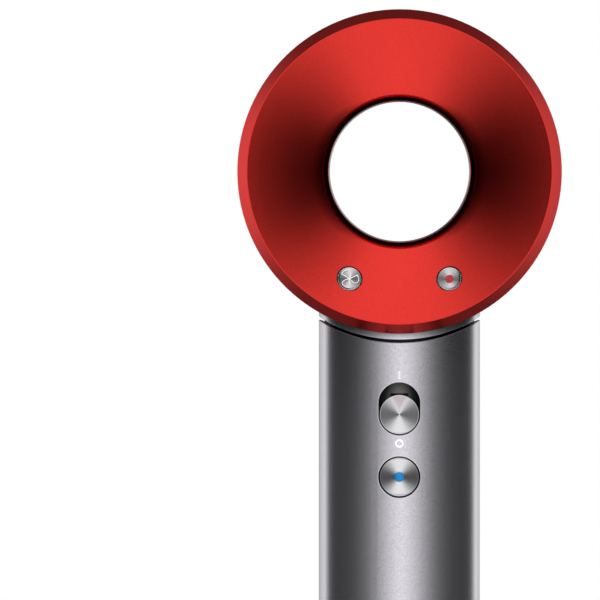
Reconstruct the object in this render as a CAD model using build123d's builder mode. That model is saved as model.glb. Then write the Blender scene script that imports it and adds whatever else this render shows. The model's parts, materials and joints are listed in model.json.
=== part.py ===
from build123d import *
import os
from math import cos, radians, sin, sqrt, tan

# Hair dryer: a ring-shaped head on a round handle, with its fan, heater, controls and mains lead.
# Millimetres. +Z is up along the handle axis, the controls face -Y and the air leaves towards +Y.
# The origin is the centre of the grip.

# Clearances shared by the fits
PRESS = 0.02
SLIP = 0.05
GUIDE = 0.2
CLEAR = 0.3

# Rounds on edges that a hand or the light meets
EDGE = 0.2
BEZEL_EDGE = 0.6
CONE_EDGE = 4.0

# Handle
HANDLE_R = 20.0
HANDLE_WALL = 1.3
HANDLE_TOP_Z = 68.3
HANDLE_BASE_Z = -51.4

# Neck between handle and head
COLLAR_DEPTH = 2.0
NECK_GAP = 0.7
SPIGOT_WALL = 2.2
SPIGOT_ENGAGE = 6.0
SPIGOT_RISE = 3.5
NECK_SEAL_HEIGHT = 1.5
NECK_SEAL_DEPTH = 0.7

# Head barrel, measured along Y from the handle axis and outwards from the head axis
HEAD_R = 39.0
HEAD_WALL = 2.0
REAR_Y = -42.5
FRONT_Y = 54.5
CONE_LENGTH = 15.5
CONE_LIP_R = 31.0
CONE_INSET = 1.0
BEZEL_PROUD = 0.5

# Red rear cover with its bell mouth
COVER_WALL = 2.0
COVER_CHAMFER_LENGTH = 5.6
COVER_CHAMFER_DEPTH = 2.4
COVER_RIM_FLAT = 0.2
COVER_SPIGOT_LENGTH = 4.0
COVER_SPIGOT_WALL = 1.6
BELL_RIM_ANGLE = 21.0
BELL_BREAK_ANGLE = 37.0
BELL_BREAK_R = 18.7
THROAT_R = 17.1
THROAT_END_Y = -10.0
REAR_SEAL_WIDTH = 1.2
REAR_SEAL_DEPTH = 0.65

# Outlet
BEZEL_R = 30.5
BEZEL_INNER_R = 29.0
BEZEL_LENGTH = 5.0
BEZEL_RELIEF = 0.3
RECESS_DEPTH = 3.0
OUTLET_STEPS = 4
OUTLET_STEP_DROP = 0.55
OUTLET_RING_LENGTH = 7.5
OUTLET_FLANGE = 2.0
SLOT_OUTER_R = 22.5
SLOT_INNER_R = 21.0
RIB_WIDTH = 1.2
RIB_LENGTH = 3.0
MAGNET_R = 2.0
MAGNET_LENGTH = 1.6
MAGNET_PITCH_R = 26.6

# Inner duct
DUCT_FRONT_R = 20.0
DUCT_FRONT_SETBACK = 3.1
DUCT_STEP = 0.2
DUCT_SEAL_LENGTH = 6.0
DUCT_SEAL_WALL = 1.5

# Heater around the duct
HEATER_REAR_Y = 14.0
HEATER_LENGTH = 26.0
HEATER_SEAT_R = 21.8
HEATER_SEAT_LENGTH = 2.0
MICA = 0.8
FIN_COUNT = 8
FIN_OUTER_R = 32.5
HEATER_RIM_R = 33.5
SLEEVE_WALL = 0.5
RIBBON = 0.6
RIBBON_WIDTH = 1.2
HOOP_COUNT = 7
CUTOUT_SIZE = (9.0, 6.0, 5.0)
THERMISTOR_R = 1.1
THERMISTOR_LENGTH = 4.0
SENSOR_PITCH_R = 27.5
SENSOR_ANGLE = 157.5

# Head board, button switches and ioniser
BOARD = 1.2
BOARD_GAP = 3.2
BOARD_INNER_R = 23.5
BOARD_OUTER_R = 34.5
BOARD_HALF_ANGLE = 60.0
POST_R = 2.0
POST_PITCH_R = 29.0
BOARD_POST_ANGLES = (-50.0, 0.0, 50.0)
IONISER_POST_ANGLE = 180.0
IONISER_INNER_R = 27.0
IONISER_GAP = 0.8
IONISER_LENGTH = 12.5
IONISER_HALF_ANGLE = 22.0
NEEDLE_R = 0.6
NEEDLE_LENGTH = 46.0
SCREW_R = 0.8
SCREW_LENGTH = 4.0
SCREW_HEAD_R = 1.7
SCREW_HEAD = 1.2

# Speed and heat buttons on the bell; angles count from straight down, towards +X
SPEED_ANGLE = -25.0
HEAT_ANGLE = 25.0
BUTTON_R = 2.9
BUTTON_PITCH_R = 28.3
BUTTON_TILT = 16.0
BUTTON_SINK = 0.4
BUTTON_TRAVEL = 0.7
BUTTON_FLANGE_DEPTH = 3.8
BUTTON_FLANGE = 0.8
BUTTON_STEM_R = 1.5
BUTTON_STEM = 1.4
BUTTON_SWITCH = 6.0
HEAT_DOT_R = 1.0
DOT_DEPTH = 0.5

# Power slider and cool button on the handle; heights count down from the handle top
SLOT_CENTRE_DROP = 16.2
SLIDER_R = 4.82
SLIDER_TRAVEL = 2.85
COOL_DROP = 32.9
COOL_R = 4.75
COOL_TRAVEL = 1.0
COOL_LENS_R = 1.17
DISC = 3.2
STEM = 4.0
STEM_REACH = 1.6
COOL_STEM_R = 2.0
COOL_FLANGE_R = 2.9
COOL_FLANGE = 0.6
CARRIER_HALF_WIDTH = 9.5
CARRIER_FLOOR = 3.2
CARRIER_BELOW = 8.5
LEG_WIDTH = 3.5
LEG_ROOT = 1.2
LEG_HEIGHT = 5.0

# Chassis and switch board inside the handle
CHASSIS = 1.6
CHASSIS_LENGTH = 50.0
BOARD_STANDOFF = 1.6
SWITCH_BOARD = 1.4
SWITCH_BOARD_HALF_WIDTH = 8.0
SWITCH_BOARD_BELOW = 19.0
POWER_SWITCH_SIZE = (12.0, 14.0)
COOL_SWITCH_SIZE = (8.0, 8.0)
CHASSIS_SCREW_DROPS = (26.6, 47.6)

# Motor and fan
MOTOR_TOP_Z = 6.0
MOTOR_LENGTH = 50.0
MOUNT_WALL = 1.2
MOUNT_LIP = 2.0
SHROUD_WALL = 1.0
HUB_R = 11.5
HUB_WALL = 1.0
HUB_LENGTH = 28.0
BEARING_R = 5.0
BEARING_LENGTH = 4.0
BEARING_BOSS_WALL = 1.2
RUNNING = 0.03
VANE_COUNT = 9
VANE = 1.0
VANE_LENGTH = 20.0
CORE_LENGTH = 12.0
YOKE_WALL = 1.45
TOOTH_COUNT = 4
TOOTH = 3.4
AIR_GAP = 0.6
COIL_BUILD = 1.5
COIL_INNER_R = 6.2
COIL_OUTER_R = 8.0
MAGNET_ROTOR_R = 5.0
SHAFT_R = 2.0
SHAFT_LENGTH = 45.5
SHAFT_TOP_SETBACK = 0.5
MOTOR_BOARD_R = 10.5
IMPELLER_HUB_R = 7.5
IMPELLER_LENGTH = 13.0
IMPELLER_GAP = 2.5
BLADE_COUNT = 11
BLADE = 0.9
BLADE_TILT = 35.0
TIP_CLEAR = 0.4

# Filter cage, mesh and end cap at the foot of the handle
CAGE_LENGTH = 44.3
CAGE_WALL = 1.2
CAGE_FOOT = 5.0
CAGE_FOOT_R = 14.0
CAGE_HOLE_R = 13.5
BASE_RING_LENGTH = 10.2
BASE_RING_ENGAGE = 5.0
MESH_R = 17.0
MESH_WALL = 0.4
MESH_SEAT = 3.0
MESH_LENGTH = 36.2
CAP_CLEAR = 0.5
CAP_LIP = 2.0
CAP_PLATE = 3.4
CLAMP_SIZE = (18.0, 11.0, 6.0)
CLAMP_SCREW_X = 6.6
CLAMP_SCREW_LENGTH = 8.4
CABLE_END = 1.6

# Strain relief
RELIEF_LENGTH = 40.0
RELIEF_R = 12.25
RELIEF_TIP_R = 6.25
RELIEF_RIDGES = 16
RELIEF_GROOVE = 0.9
RELIEF_PLUG_R = 10.0

# Mains lead: a hanging run, a coil on the surface below, a tail and a plug
CORD_R = 3.8
SURFACE_Z = -220.0
LEAD_ROUTE = [
    (0.0, 0.0, -136.0),
    (0.0, 0.0, -162.0),
    (6.4, 8.1, -187.5),
    (18.5, 23.3, -206.2),
    (33.3, 41.8, -215.4),
    (47.6, 59.8, -215.4),
]
TAIL_ROUTE = [
    (-60.8, 97.7, -207.8),
    (-62.0, 73.3, -208.4),
    (-60.6, 49.0, -207.0),
]
ROUTE_FILL = 0.45
COIL_X = 0.0
COIL_Y = 97.7
COIL_TURN_OUTER_R = 60.8
COIL_TURN_INNER_R = 31.9
COIL_EDGE = 3.0
TIE = 0.8
TIE_WIDTH = 10.0
TIE_SLACK = 0.5
PLUG_WIDTH = 36.0
PLUG_HEIGHT = 26.0
PLUG_BODY = 24.0
PLUG_NECK = 21.0
PLUG_NECK_R = 6.0
PIN_R = 2.4
PIN_LENGTH = 19.0
PIN_SPACING = 19.0

# Sizes that follow from those above
HANDLE_IN_R = HANDLE_R - HANDLE_WALL
COLLAR_R = HEAD_R + COLLAR_DEPTH
SADDLE_R = COLLAR_R + NECK_GAP
HEAD_Z = HANDLE_TOP_Z + SADDLE_R
SPIGOT_R = HANDLE_IN_R - 2 * SLIP
SPIGOT_IN_R = SPIGOT_R - SPIGOT_WALL
SPIGOT_LOW_Z = HANDLE_TOP_Z - SPIGOT_ENGAGE
SEAM_Y = REAR_Y + COVER_CHAMFER_LENGTH
HEAD_IN_R = HEAD_R - HEAD_WALL
RIM_R = HEAD_R - COVER_CHAMFER_DEPTH - COVER_RIM_FLAT
BELL_R1 = (RIM_R - BELL_BREAK_R) / (sin(radians(BELL_BREAK_ANGLE)) - sin(radians(BELL_RIM_ANGLE)))
BELL_R2 = (BELL_BREAK_R - THROAT_R) / (1 - sin(radians(BELL_BREAK_ANGLE)))
BELL_CENTRE_1 = (
    REAR_Y + BELL_R1 * cos(radians(BELL_RIM_ANGLE)),
    RIM_R + BELL_R1 * sin(radians(BELL_RIM_ANGLE)),
)
BELL_BREAK_Y = BELL_CENTRE_1[0] - BELL_R1 * cos(radians(BELL_BREAK_ANGLE))
THROAT_Y = BELL_BREAK_Y + BELL_R2 * cos(radians(BELL_BREAK_ANGLE))
BELL_CENTRE_2 = (THROAT_Y, THROAT_R + BELL_R2)
THROAT_OUT_R = THROAT_R + COVER_WALL
BUTTON_Y = BELL_CENTRE_1[0] - sqrt(BELL_R1**2 - (BELL_CENTRE_1[1] - BUTTON_PITCH_R) ** 2)
BOARD_BELL_Y = BELL_CENTRE_1[0] - sqrt((BELL_R1 - COVER_WALL) ** 2 - (BELL_CENTRE_1[1] - BOARD_INNER_R) ** 2)
BOARD_Y = BOARD_BELL_Y + BOARD_GAP
HEATER_FRONT_Y = HEATER_REAR_Y + HEATER_LENGTH
SLEEVE_R = HEATER_RIM_R + SLIP + SLEEVE_WALL
OUTLET_RIM_Y = FRONT_Y - RECESS_DEPTH
BEZEL_BACK_Y = FRONT_Y - BEZEL_LENGTH
FACE_Y = -sqrt(HANDLE_R**2 - SLIDER_R**2)
DISC_BACK_Y = FACE_Y + DISC
SLOT_FLOOR_Y = DISC_BACK_Y + CLEAR
COOL_FLOOR_Y = SLOT_FLOOR_Y + COOL_TRAVEL
CARRIER_BACK_Y = SLOT_FLOOR_Y + CARRIER_FLOOR
SLOT_CENTRE_Z = HANDLE_TOP_Z - SLOT_CENTRE_DROP
SLIDER_Z = SLOT_CENTRE_Z - SLIDER_TRAVEL / 2
COOL_Z = HANDLE_TOP_Z - COOL_DROP
SLOT_R = SLIDER_R + GUIDE
SLOT_LENGTH = 2 * SLOT_R + SLIDER_TRAVEL
COOL_HOLE_R = COOL_R + CLEAR
COOL_FLANGE_Y = CARRIER_BACK_Y + CLEAR
CARRIER_TOP_Z = SPIGOT_LOW_Z - CLEAR
CARRIER_LOW_Z = COOL_Z - CARRIER_BELOW
SWITCH_BOARD_Y = -BOARD_STANDOFF - SWITCH_BOARD
MOTOR_BASE_Z = MOTOR_TOP_Z - MOTOR_LENGTH
MOUNT_R = HANDLE_IN_R - SLIP
SHROUD_R = MOUNT_R - MOUNT_WALL - SLIP
SHROUD_IN_R = SHROUD_R - SHROUD_WALL
HUB_BASE_Z = MOTOR_TOP_Z - HUB_LENGTH
HUB_IN_R = HUB_R - HUB_WALL
CORE_MID_Z = MOTOR_TOP_Z - HUB_LENGTH / 2
IMPELLER_TOP_Z = HUB_BASE_Z - IMPELLER_GAP
CAGE_TOP_Z = HANDLE_BASE_Z - CLEAR
CAGE_BASE_Z = CAGE_TOP_Z - CAGE_LENGTH
CAGE_IN_R = HANDLE_R - CAGE_WALL
BASE_RING_LOW_Z = HANDLE_BASE_Z - BASE_RING_ENGAGE
MESH_TOP_Z = BASE_RING_LOW_Z + MESH_SEAT
MESH_LOW_Z = MESH_TOP_Z - MESH_LENGTH
CAP_TOP_Z = MESH_LOW_Z + CAP_LIP
CAP_PLATE_Z = CAP_TOP_Z - CAP_PLATE
CLAMP_TOP_Z = CAP_TOP_Z + CLAMP_SIZE[2]
CLAMP_SCREW_LOW_Z = CLAMP_TOP_Z - CLAMP_SCREW_LENGTH
RELIEF_TIP_Z = CAGE_BASE_Z - RELIEF_LENGTH
COIL_LOW_Z = SURFACE_Z + TIE
COIL_HIGH_Z = COIL_LOW_Z + 4 * CORD_R
COIL_OUTER = COIL_TURN_OUTER_R + CORD_R
COIL_INNER = COIL_TURN_INNER_R - CORD_R
PLUG_X, PLUG_ENTRY_Y, PLUG_Z = TAIL_ROUTE[-1]
PLUG_FACE_Y = PLUG_ENTRY_Y - PLUG_NECK - PLUG_BODY

HEAD_AXIS = Axis((0, 0, HEAD_Z), (0, 1, 0))


def head_section(angle=180.0):
    """Half section through the head axis: sketch x runs along Y, sketch y outwards from the axis."""
    turn = radians(angle)
    return Plane(origin=(0, 0, HEAD_Z), x_dir=(0, 1, 0), z_dir=(-cos(turn), 0, -sin(turn)))


def head_plane(y):
    """Plane across the head at a distance along it, facing the rear, centred on the head axis."""
    return Plane(origin=(0, y, HEAD_Z), x_dir=(1, 0, 0), z_dir=(0, -1, 0))


def head_polar(radius, angle):
    """Sketch point on a head plane at a radius and an angle from straight down."""
    return (radius * sin(radians(angle)), -radius * cos(radians(angle)))


def control_plane(y):
    """Plane across the handle at a distance along Y, facing the rear."""
    return Plane(origin=(0, y, 0), x_dir=(1, 0, 0), z_dir=(0, -1, 0))


def button_plane(angle):
    """Plane where a button's axis meets the bell, with its normal out of the head."""
    turn = radians(angle)
    tilt = radians(BUTTON_TILT)
    outward = Vector(sin(turn), 0, -cos(turn))
    normal = Vector(0, -cos(tilt), 0) - outward * sin(tilt)
    centre = Vector(0, BUTTON_Y, HEAD_Z) + outward * BUTTON_PITCH_R
    return Plane(origin=centre, x_dir=(cos(turn), 0, sin(turn)), z_dir=normal)


def head_turned(points, mode=Mode.ADD, start=180.0, sweep_angle=360.0):
    """Turn an outline of (distance along the head, radius) points about the head axis."""
    with BuildSketch(head_section(start)) as outline:
        with BuildLine():
            Polyline(*points, close=True)
        make_face()
    revolve(outline.sketch, axis=HEAD_AXIS, revolution_arc=sweep_angle, mode=mode)


def head_ring(outer, inner, low_y, high_y, mode=Mode.ADD):
    """Plain ring about the head axis."""
    head_turned([(low_y, inner), (high_y, inner), (high_y, outer), (low_y, outer)], mode)


def handle_turned(points, mode=Mode.ADD):
    """Turn an outline of (radius, height) points about the handle axis."""
    with BuildSketch(Plane.XZ) as outline:
        with BuildLine():
            Polyline(*points, close=True)
        make_face()
    revolve(outline.sketch, axis=Axis.Z, mode=mode)


def handle_ring(outer, inner, low_z, high_z, mode=Mode.ADD):
    """Plain ring about the handle axis."""
    handle_turned([(inner, low_z), (outer, low_z), (outer, high_z), (inner, high_z)], mode)


def handle_disc(radius, low_z, high_z, mode=Mode.ADD):
    """Plain disc about the handle axis."""
    with Locations((0, 0, (low_z + high_z) / 2)):
        Cylinder(radius, high_z - low_z, mode=mode)


def block(low, high, mode=Mode.ADD):
    """Plain block between two corners."""
    size = [b - a for a, b in zip(low, high)]
    middle = tuple((a + b) / 2 for a, b in zip(low, high))
    with Locations(middle):
        Box(*size, mode=mode)


def rod(plane, radius, start, end, point=(0, 0), mode=Mode.ADD):
    """Round rod along a plane's normal, between two heights above the plane."""
    with BuildSketch(plane.offset(start)) as outline:
        with Locations(point):
            Circle(radius)
    extrude(outline.sketch, amount=end - start, mode=mode)


def on_barrel(edge):
    """Whether an edge is a circle round the outside of the barrel."""
    return edge.geom_type == GeomType.CIRCLE and abs(edge.radius - HEAD_R) < PRESS


def on_handle(edge):
    """Whether an edge lies on the outside of the handle's cylinder."""
    points = [edge @ share for share in (0, 0.3, 0.7, 1)]
    return all(abs(sqrt(point.X**2 + point.Y**2) - HANDLE_R) < PRESS for point in points)


def bell_line(inset):
    """The bell from rim to throat, moved into its wall by an inset."""
    CenterArc(BELL_CENTRE_1, BELL_R1 - inset, 180 + BELL_RIM_ANGLE, BELL_BREAK_ANGLE - BELL_RIM_ANGLE)
    CenterArc(BELL_CENTRE_2, BELL_R2 - inset, 180 + BELL_BREAK_ANGLE, 90 - BELL_BREAK_ANGLE)


def route_radii(route):
    """Bend radius at each inner point of a route, as large as its shorter run allows."""
    radii = []
    for before, here, after in zip(route, route[1:], route[2:]):
        run_in = Vector(here) - Vector(before)
        run_out = Vector(after) - Vector(here)
        half_turn = radians(run_in.get_angle(run_out)) / 2
        radii.append(ROUTE_FILL * min(run_in.length, run_out.length) / tan(half_turn))
    return radii


os.makedirs("parts", exist_ok=True)

# Head: grey barrel, open at the rear for the cover and at the front for the outlet

with BuildPart() as head_shell:
    lip_y = FRONT_Y - BEZEL_PROUD
    cone_y = lip_y - CONE_LENGTH
    seat_r = BEZEL_R + PRESS
    head_turned([
        (SEAM_Y, HEAD_R),
        (cone_y, HEAD_R),
        (lip_y, CONE_LIP_R),
        (lip_y, seat_r),
        (BEZEL_BACK_Y, seat_r),
        (cone_y - CONE_INSET, HEAD_IN_R),
        (SEAM_Y, HEAD_IN_R),
    ])
    handle_disc(SPIGOT_R + SLIP, SPIGOT_LOW_Z, HEAD_Z - HEAD_IN_R / 2, Mode.SUBTRACT)
    fillet(head_shell.edges().filter_by(on_barrel).sort_by(Axis.Y)[-1], CONE_EDGE)
    fillet(head_shell.edges().filter_by(on_barrel).sort_by(Axis.Y)[0], EDGE)
head_shell.part.label = "head_shell"
export_step(head_shell.part, "parts/head_shell.step")

# Red rear cover: rim with a chamfer, bell, throat, and posts for the board behind the bell

with BuildPart() as rear_cover:
    spigot_r = HEAD_IN_R - 3 * SLIP
    spigot_in_r = spigot_r - COVER_SPIGOT_WALL
    spigot_end_y = SEAM_Y + COVER_SPIGOT_LENGTH
    rim_start = (REAR_Y, RIM_R)
    rim_inset = (
        REAR_Y + COVER_WALL * cos(radians(BELL_RIM_ANGLE)),
        RIM_R + COVER_WALL * sin(radians(BELL_RIM_ANGLE)),
    )
    with BuildSketch(head_section()):
        with BuildLine():
            bell_line(0)
            Polyline(
                (THROAT_Y, THROAT_R),
                (THROAT_END_Y, THROAT_R),
                (THROAT_END_Y, THROAT_OUT_R),
                (THROAT_Y, THROAT_OUT_R),
            )
            bell_line(COVER_WALL)
            Line(rim_start, rim_inset)
        make_face()
        with BuildLine():
            Polyline(
                rim_start,
                (REAR_Y, RIM_R + COVER_RIM_FLAT),
                (SEAM_Y, HEAD_R),
                (SEAM_Y, spigot_r),
                (spigot_end_y, spigot_r),
                (spigot_end_y, spigot_in_r),
                (REAR_Y + COVER_WALL, spigot_in_r),
                close=True,
            )
        make_face()
    revolve(axis=HEAD_AXIS)
    for angle in (*BOARD_POST_ANGLES, IONISER_POST_ANGLE):
        rod(head_plane(BOARD_Y), POST_R, 0, BOARD_Y - REAR_Y, head_polar(POST_PITCH_R, angle))
    with BuildSketch(head_section()):
        with BuildLine():
            bell_line(0)
            Polyline((THROAT_Y, THROAT_R), (THROAT_Y, 0), (REAR_Y, 0), rim_start)
        make_face()
    revolve(axis=HEAD_AXIS, mode=Mode.SUBTRACT)
    for angle in BOARD_POST_ANGLES:
        rod(
            head_plane(BOARD_Y),
            SCREW_R + SLIP,
            0,
            SCREW_LENGTH,
            head_polar(POST_PITCH_R, angle),
            Mode.SUBTRACT,
        )
    for angle in (SPEED_ANGLE, HEAT_ANGLE):
        rod(
            button_plane(angle),
            BUTTON_R + GUIDE,
            -BUTTON_FLANGE_DEPTH - CLEAR,
            BUTTON_FLANGE_DEPTH,
            mode=Mode.SUBTRACT,
        )
    groove_mid_y = SEAM_Y + COVER_SPIGOT_LENGTH / 2
    groove_low_y = groove_mid_y - REAR_SEAL_WIDTH / 2 - PRESS
    groove_high_y = groove_mid_y + REAR_SEAL_WIDTH / 2 + PRESS
    groove_r = spigot_r - REAR_SEAL_DEPTH
    head_ring(HEAD_R, groove_r, groove_low_y, groove_high_y, Mode.SUBTRACT)
rear_cover.part.label = "rear_cover"
export_step(rear_cover.part, "parts/rear_cover.step")

# Seal in the groove of the cover's spigot

with BuildPart() as rear_seal:
    head_ring(HEAD_IN_R - PRESS, groove_r + PRESS, groove_low_y + PRESS, groove_high_y - PRESS)
rear_seal.part.label = "rear_seal"
export_step(rear_seal.part, "parts/rear_seal.step")

# Outlet: bright bezel, stepped ring with bridging ribs, and the magnets behind it

with BuildPart() as outlet_bezel:
    relief_r = BEZEL_INNER_R + BEZEL_RELIEF
    head_turned([
        (BEZEL_BACK_Y, relief_r),
        (OUTLET_RIM_Y, relief_r),
        (OUTLET_RIM_Y, BEZEL_INNER_R),
        (FRONT_Y, BEZEL_INNER_R),
        (FRONT_Y, BEZEL_R),
        (BEZEL_BACK_Y, BEZEL_R),
    ])
    front_edges = outlet_bezel.edges().filter_by(GeomType.CIRCLE).group_by(Axis.Y)[-1]
    fillet(front_edges.sort_by(SortBy.RADIUS)[-1], BEZEL_EDGE)
outlet_bezel.part.label = "outlet_bezel"
export_step(outlet_bezel.part, "parts/outlet_bezel.step")

with BuildPart() as outlet_ring:
    rim_r = relief_r - PRESS
    step_width = (BEZEL_INNER_R - SLOT_OUTER_R) / (OUTLET_STEPS + 1)
    steps = [(OUTLET_RIM_Y, rim_r)]
    for step in range(1, OUTLET_STEPS + 1):
        step_r = BEZEL_INNER_R - step * step_width
        steps.append((OUTLET_RIM_Y - (step - 1) * OUTLET_STEP_DROP, step_r))
        steps.append((OUTLET_RIM_Y - step * OUTLET_STEP_DROP, step_r))
    ring_back_y = OUTLET_RIM_Y - OUTLET_RING_LENGTH
    flange_back_y = BEZEL_BACK_Y - OUTLET_FLANGE
    flange_r = BEZEL_R - SLIP
    head_turned([
        *steps,
        (steps[-1][0], SLOT_OUTER_R),
        (ring_back_y, SLOT_OUTER_R),
        (ring_back_y, SLOT_OUTER_R + step_width),
        (flange_back_y, BEZEL_INNER_R),
        (flange_back_y, flange_r),
        (BEZEL_BACK_Y, flange_r),
        (BEZEL_BACK_Y, rim_r),
    ])
    with BuildSketch(head_plane(ring_back_y)):
        with PolarLocations((SLOT_OUTER_R + SLOT_INNER_R) / 2 + SLIP, 4, start_angle=45):
            Rectangle(SLOT_OUTER_R - SLOT_INNER_R, RIB_WIDTH)
    extrude(amount=-RIB_LENGTH)
    with BuildSketch(head_plane(flange_back_y)):
        with PolarLocations(MAGNET_PITCH_R, 4):
            Circle(MAGNET_R + PRESS)
    extrude(amount=MAGNET_LENGTH, both=True, mode=Mode.SUBTRACT)
outlet_ring.part.label = "outlet_ring"
export_step(outlet_ring.part, "parts/outlet_ring.step")

with BuildPart() as attachment_magnets:
    with BuildSketch(head_plane(flange_back_y)):
        with PolarLocations(MAGNET_PITCH_R, 4):
            Circle(MAGNET_R)
    extrude(amount=-MAGNET_LENGTH)
attachment_magnets.part.label = "attachment_magnets"
export_step(attachment_magnets.part, "parts/attachment_magnets.step")

# Inner duct from the throat to the outlet, with two collars that carry the heater

with BuildPart() as inner_duct:
    duct_front_y = FRONT_Y - DUCT_FRONT_SETBACK
    duct_seal_end_y = THROAT_END_Y + DUCT_SEAL_LENGTH / 2
    head_turned([
        (THROAT_END_Y, THROAT_R + DUCT_STEP),
        (duct_front_y, DUCT_FRONT_R),
        (duct_front_y, SLOT_INNER_R),
        (ring_back_y, SLOT_INNER_R),
        (duct_seal_end_y, THROAT_OUT_R),
        (THROAT_END_Y, THROAT_OUT_R),
    ])
    flare = (SLOT_INNER_R - THROAT_OUT_R) / (ring_back_y - duct_seal_end_y)
    for collar_mid_y in (HEATER_REAR_Y + MICA / 2, HEATER_FRONT_Y - MICA / 2):
        collar_low_y = collar_mid_y - HEATER_SEAT_LENGTH / 2
        collar_in_r = THROAT_OUT_R + flare * (collar_low_y - duct_seal_end_y) - SLIP
        head_ring(HEATER_SEAT_R, collar_in_r, collar_low_y, collar_low_y + HEATER_SEAT_LENGTH)
inner_duct.part.label = "inner_duct"
export_step(inner_duct.part, "parts/inner_duct.step")

# Sleeve that seals the duct to the throat

with BuildPart() as duct_seal:
    seal_r = THROAT_OUT_R + PRESS
    seal_low_y = THROAT_END_Y - DUCT_SEAL_LENGTH / 2
    head_ring(seal_r + DUCT_SEAL_WALL, seal_r, seal_low_y, duct_seal_end_y)
duct_seal.part.label = "duct_seal"
export_step(duct_seal.part, "parts/duct_seal.step")

# Heater: mica frame, resistance winding in its notches, mica sleeve, cut-out and thermistor

hoop_pitch = (HEATER_LENGTH - 2 * MICA) / HOOP_COUNT
hoop_ys = [HEATER_REAR_Y + MICA + hoop_pitch * (hoop + 0.5) for hoop in range(HOOP_COUNT)]

with BuildPart() as heater_frame:
    mica_r = HEATER_SEAT_R + PRESS
    head_ring(HEATER_RIM_R, mica_r, HEATER_REAR_Y, HEATER_REAR_Y + MICA)
    head_ring(HEATER_RIM_R, mica_r, HEATER_FRONT_Y - MICA, HEATER_FRONT_Y)
    fin_inner_r = mica_r + MICA
    with BuildSketch(head_plane(HEATER_REAR_Y + MICA)):
        with PolarLocations((fin_inner_r + FIN_OUTER_R) / 2, FIN_COUNT):
            Rectangle(FIN_OUTER_R - fin_inner_r, MICA)
    extrude(amount=2 * MICA - HEATER_LENGTH)
    notch_half = RIBBON_WIDTH / 2 + SLIP
    for hoop_y in hoop_ys:
        notch_r = FIN_OUTER_R - RIBBON - SLIP
        head_ring(FIN_OUTER_R + RIBBON, notch_r, hoop_y - notch_half, hoop_y + notch_half, Mode.SUBTRACT)
heater_frame.part.label = "heater_frame"
export_step(heater_frame.part, "parts/heater_frame.step")

with BuildPart() as heater_winding:
    ribbon_in_r = FIN_OUTER_R - RIBBON
    for hoop_y in hoop_ys:
        head_ring(FIN_OUTER_R, ribbon_in_r, hoop_y - RIBBON_WIDTH / 2, hoop_y + RIBBON_WIDTH / 2)
    half_fin = 180.0 / FIN_COUNT
    for hoop, hoop_y in enumerate(hoop_ys[:-1]):
        link_angle = half_fin if hoop % 2 == 0 else 3 * half_fin
        with BuildSketch(head_plane(hoop_y)):
            with Locations(head_polar(FIN_OUTER_R - RIBBON / 2, link_angle)):
                Rectangle(RIBBON_WIDTH, RIBBON / 2, rotation=link_angle)
        extrude(amount=-hoop_pitch)
heater_winding.part.label = "heater_winding"
export_step(heater_winding.part, "parts/heater_winding.step")

with BuildPart() as heater_sleeve:
    head_ring(SLEEVE_R, HEATER_RIM_R + SLIP, HEATER_REAR_Y, HEATER_FRONT_Y)
heater_sleeve.part.label = "heater_sleeve"
export_step(heater_sleeve.part, "parts/heater_sleeve.step")

with BuildPart() as thermal_cutout:
    with BuildSketch(head_plane(HEATER_REAR_Y)):
        with Locations(head_polar(SENSOR_PITCH_R, SENSOR_ANGLE)):
            Rectangle(CUTOUT_SIZE[0], CUTOUT_SIZE[1], rotation=SENSOR_ANGLE)
    extrude(amount=CUTOUT_SIZE[2])
thermal_cutout.part.label = "thermal_cutout"
export_step(thermal_cutout.part, "parts/thermal_cutout.step")

with BuildPart() as thermistor:
    rod(
        head_plane(HEATER_FRONT_Y),
        THERMISTOR_R,
        -THERMISTOR_LENGTH,
        0,
        head_polar(SENSOR_PITCH_R, SENSOR_ANGLE),
    )
thermistor.part.label = "thermistor"
export_step(thermistor.part, "parts/thermistor.step")

# Board behind the bell with its screws, the two button switches, and the ioniser

board_front_y = BOARD_Y + BOARD

with BuildPart() as head_board:
    head_turned(
        [
            (BOARD_Y, BOARD_INNER_R),
            (board_front_y, BOARD_INNER_R),
            (board_front_y, BOARD_OUTER_R),
            (BOARD_Y, BOARD_OUTER_R),
        ],
        start=BOARD_HALF_ANGLE,
        sweep_angle=2 * BOARD_HALF_ANGLE,
    )
    for angle in BOARD_POST_ANGLES:
        rod(
            head_plane(board_front_y),
            SCREW_R + GUIDE,
            0,
            BOARD,
            head_polar(POST_PITCH_R, angle),
            Mode.SUBTRACT,
        )
head_board.part.label = "head_board"
export_step(head_board.part, "parts/head_board.step")

with BuildPart() as board_screws:
    for angle in BOARD_POST_ANGLES:
        at_post = head_polar(POST_PITCH_R, angle)
        rod(head_plane(board_front_y), SCREW_HEAD_R, -SCREW_HEAD, 0, at_post)
        rod(head_plane(board_front_y), SCREW_R, 0, SCREW_LENGTH, at_post)
board_screws.part.label = "board_screws"
export_step(board_screws.part, "parts/board_screws.step")

button_end = BUTTON_FLANGE_DEPTH + BUTTON_FLANGE + BUTTON_STEM

with BuildPart() as head_switches:
    for angle in (SPEED_ANGLE, HEAT_ANGLE):
        with BuildSketch(button_plane(angle).offset(-button_end - BUTTON_TRAVEL - GUIDE)):
            Rectangle(BUTTON_SWITCH, BUTTON_SWITCH)
        extrude(amount=-2 * BUTTON_SWITCH)
    split(bisect_by=head_plane(BOARD_Y), keep=Keep.TOP)
head_switches.part.label = "head_switches"
export_step(head_switches.part, "parts/head_switches.step")

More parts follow.
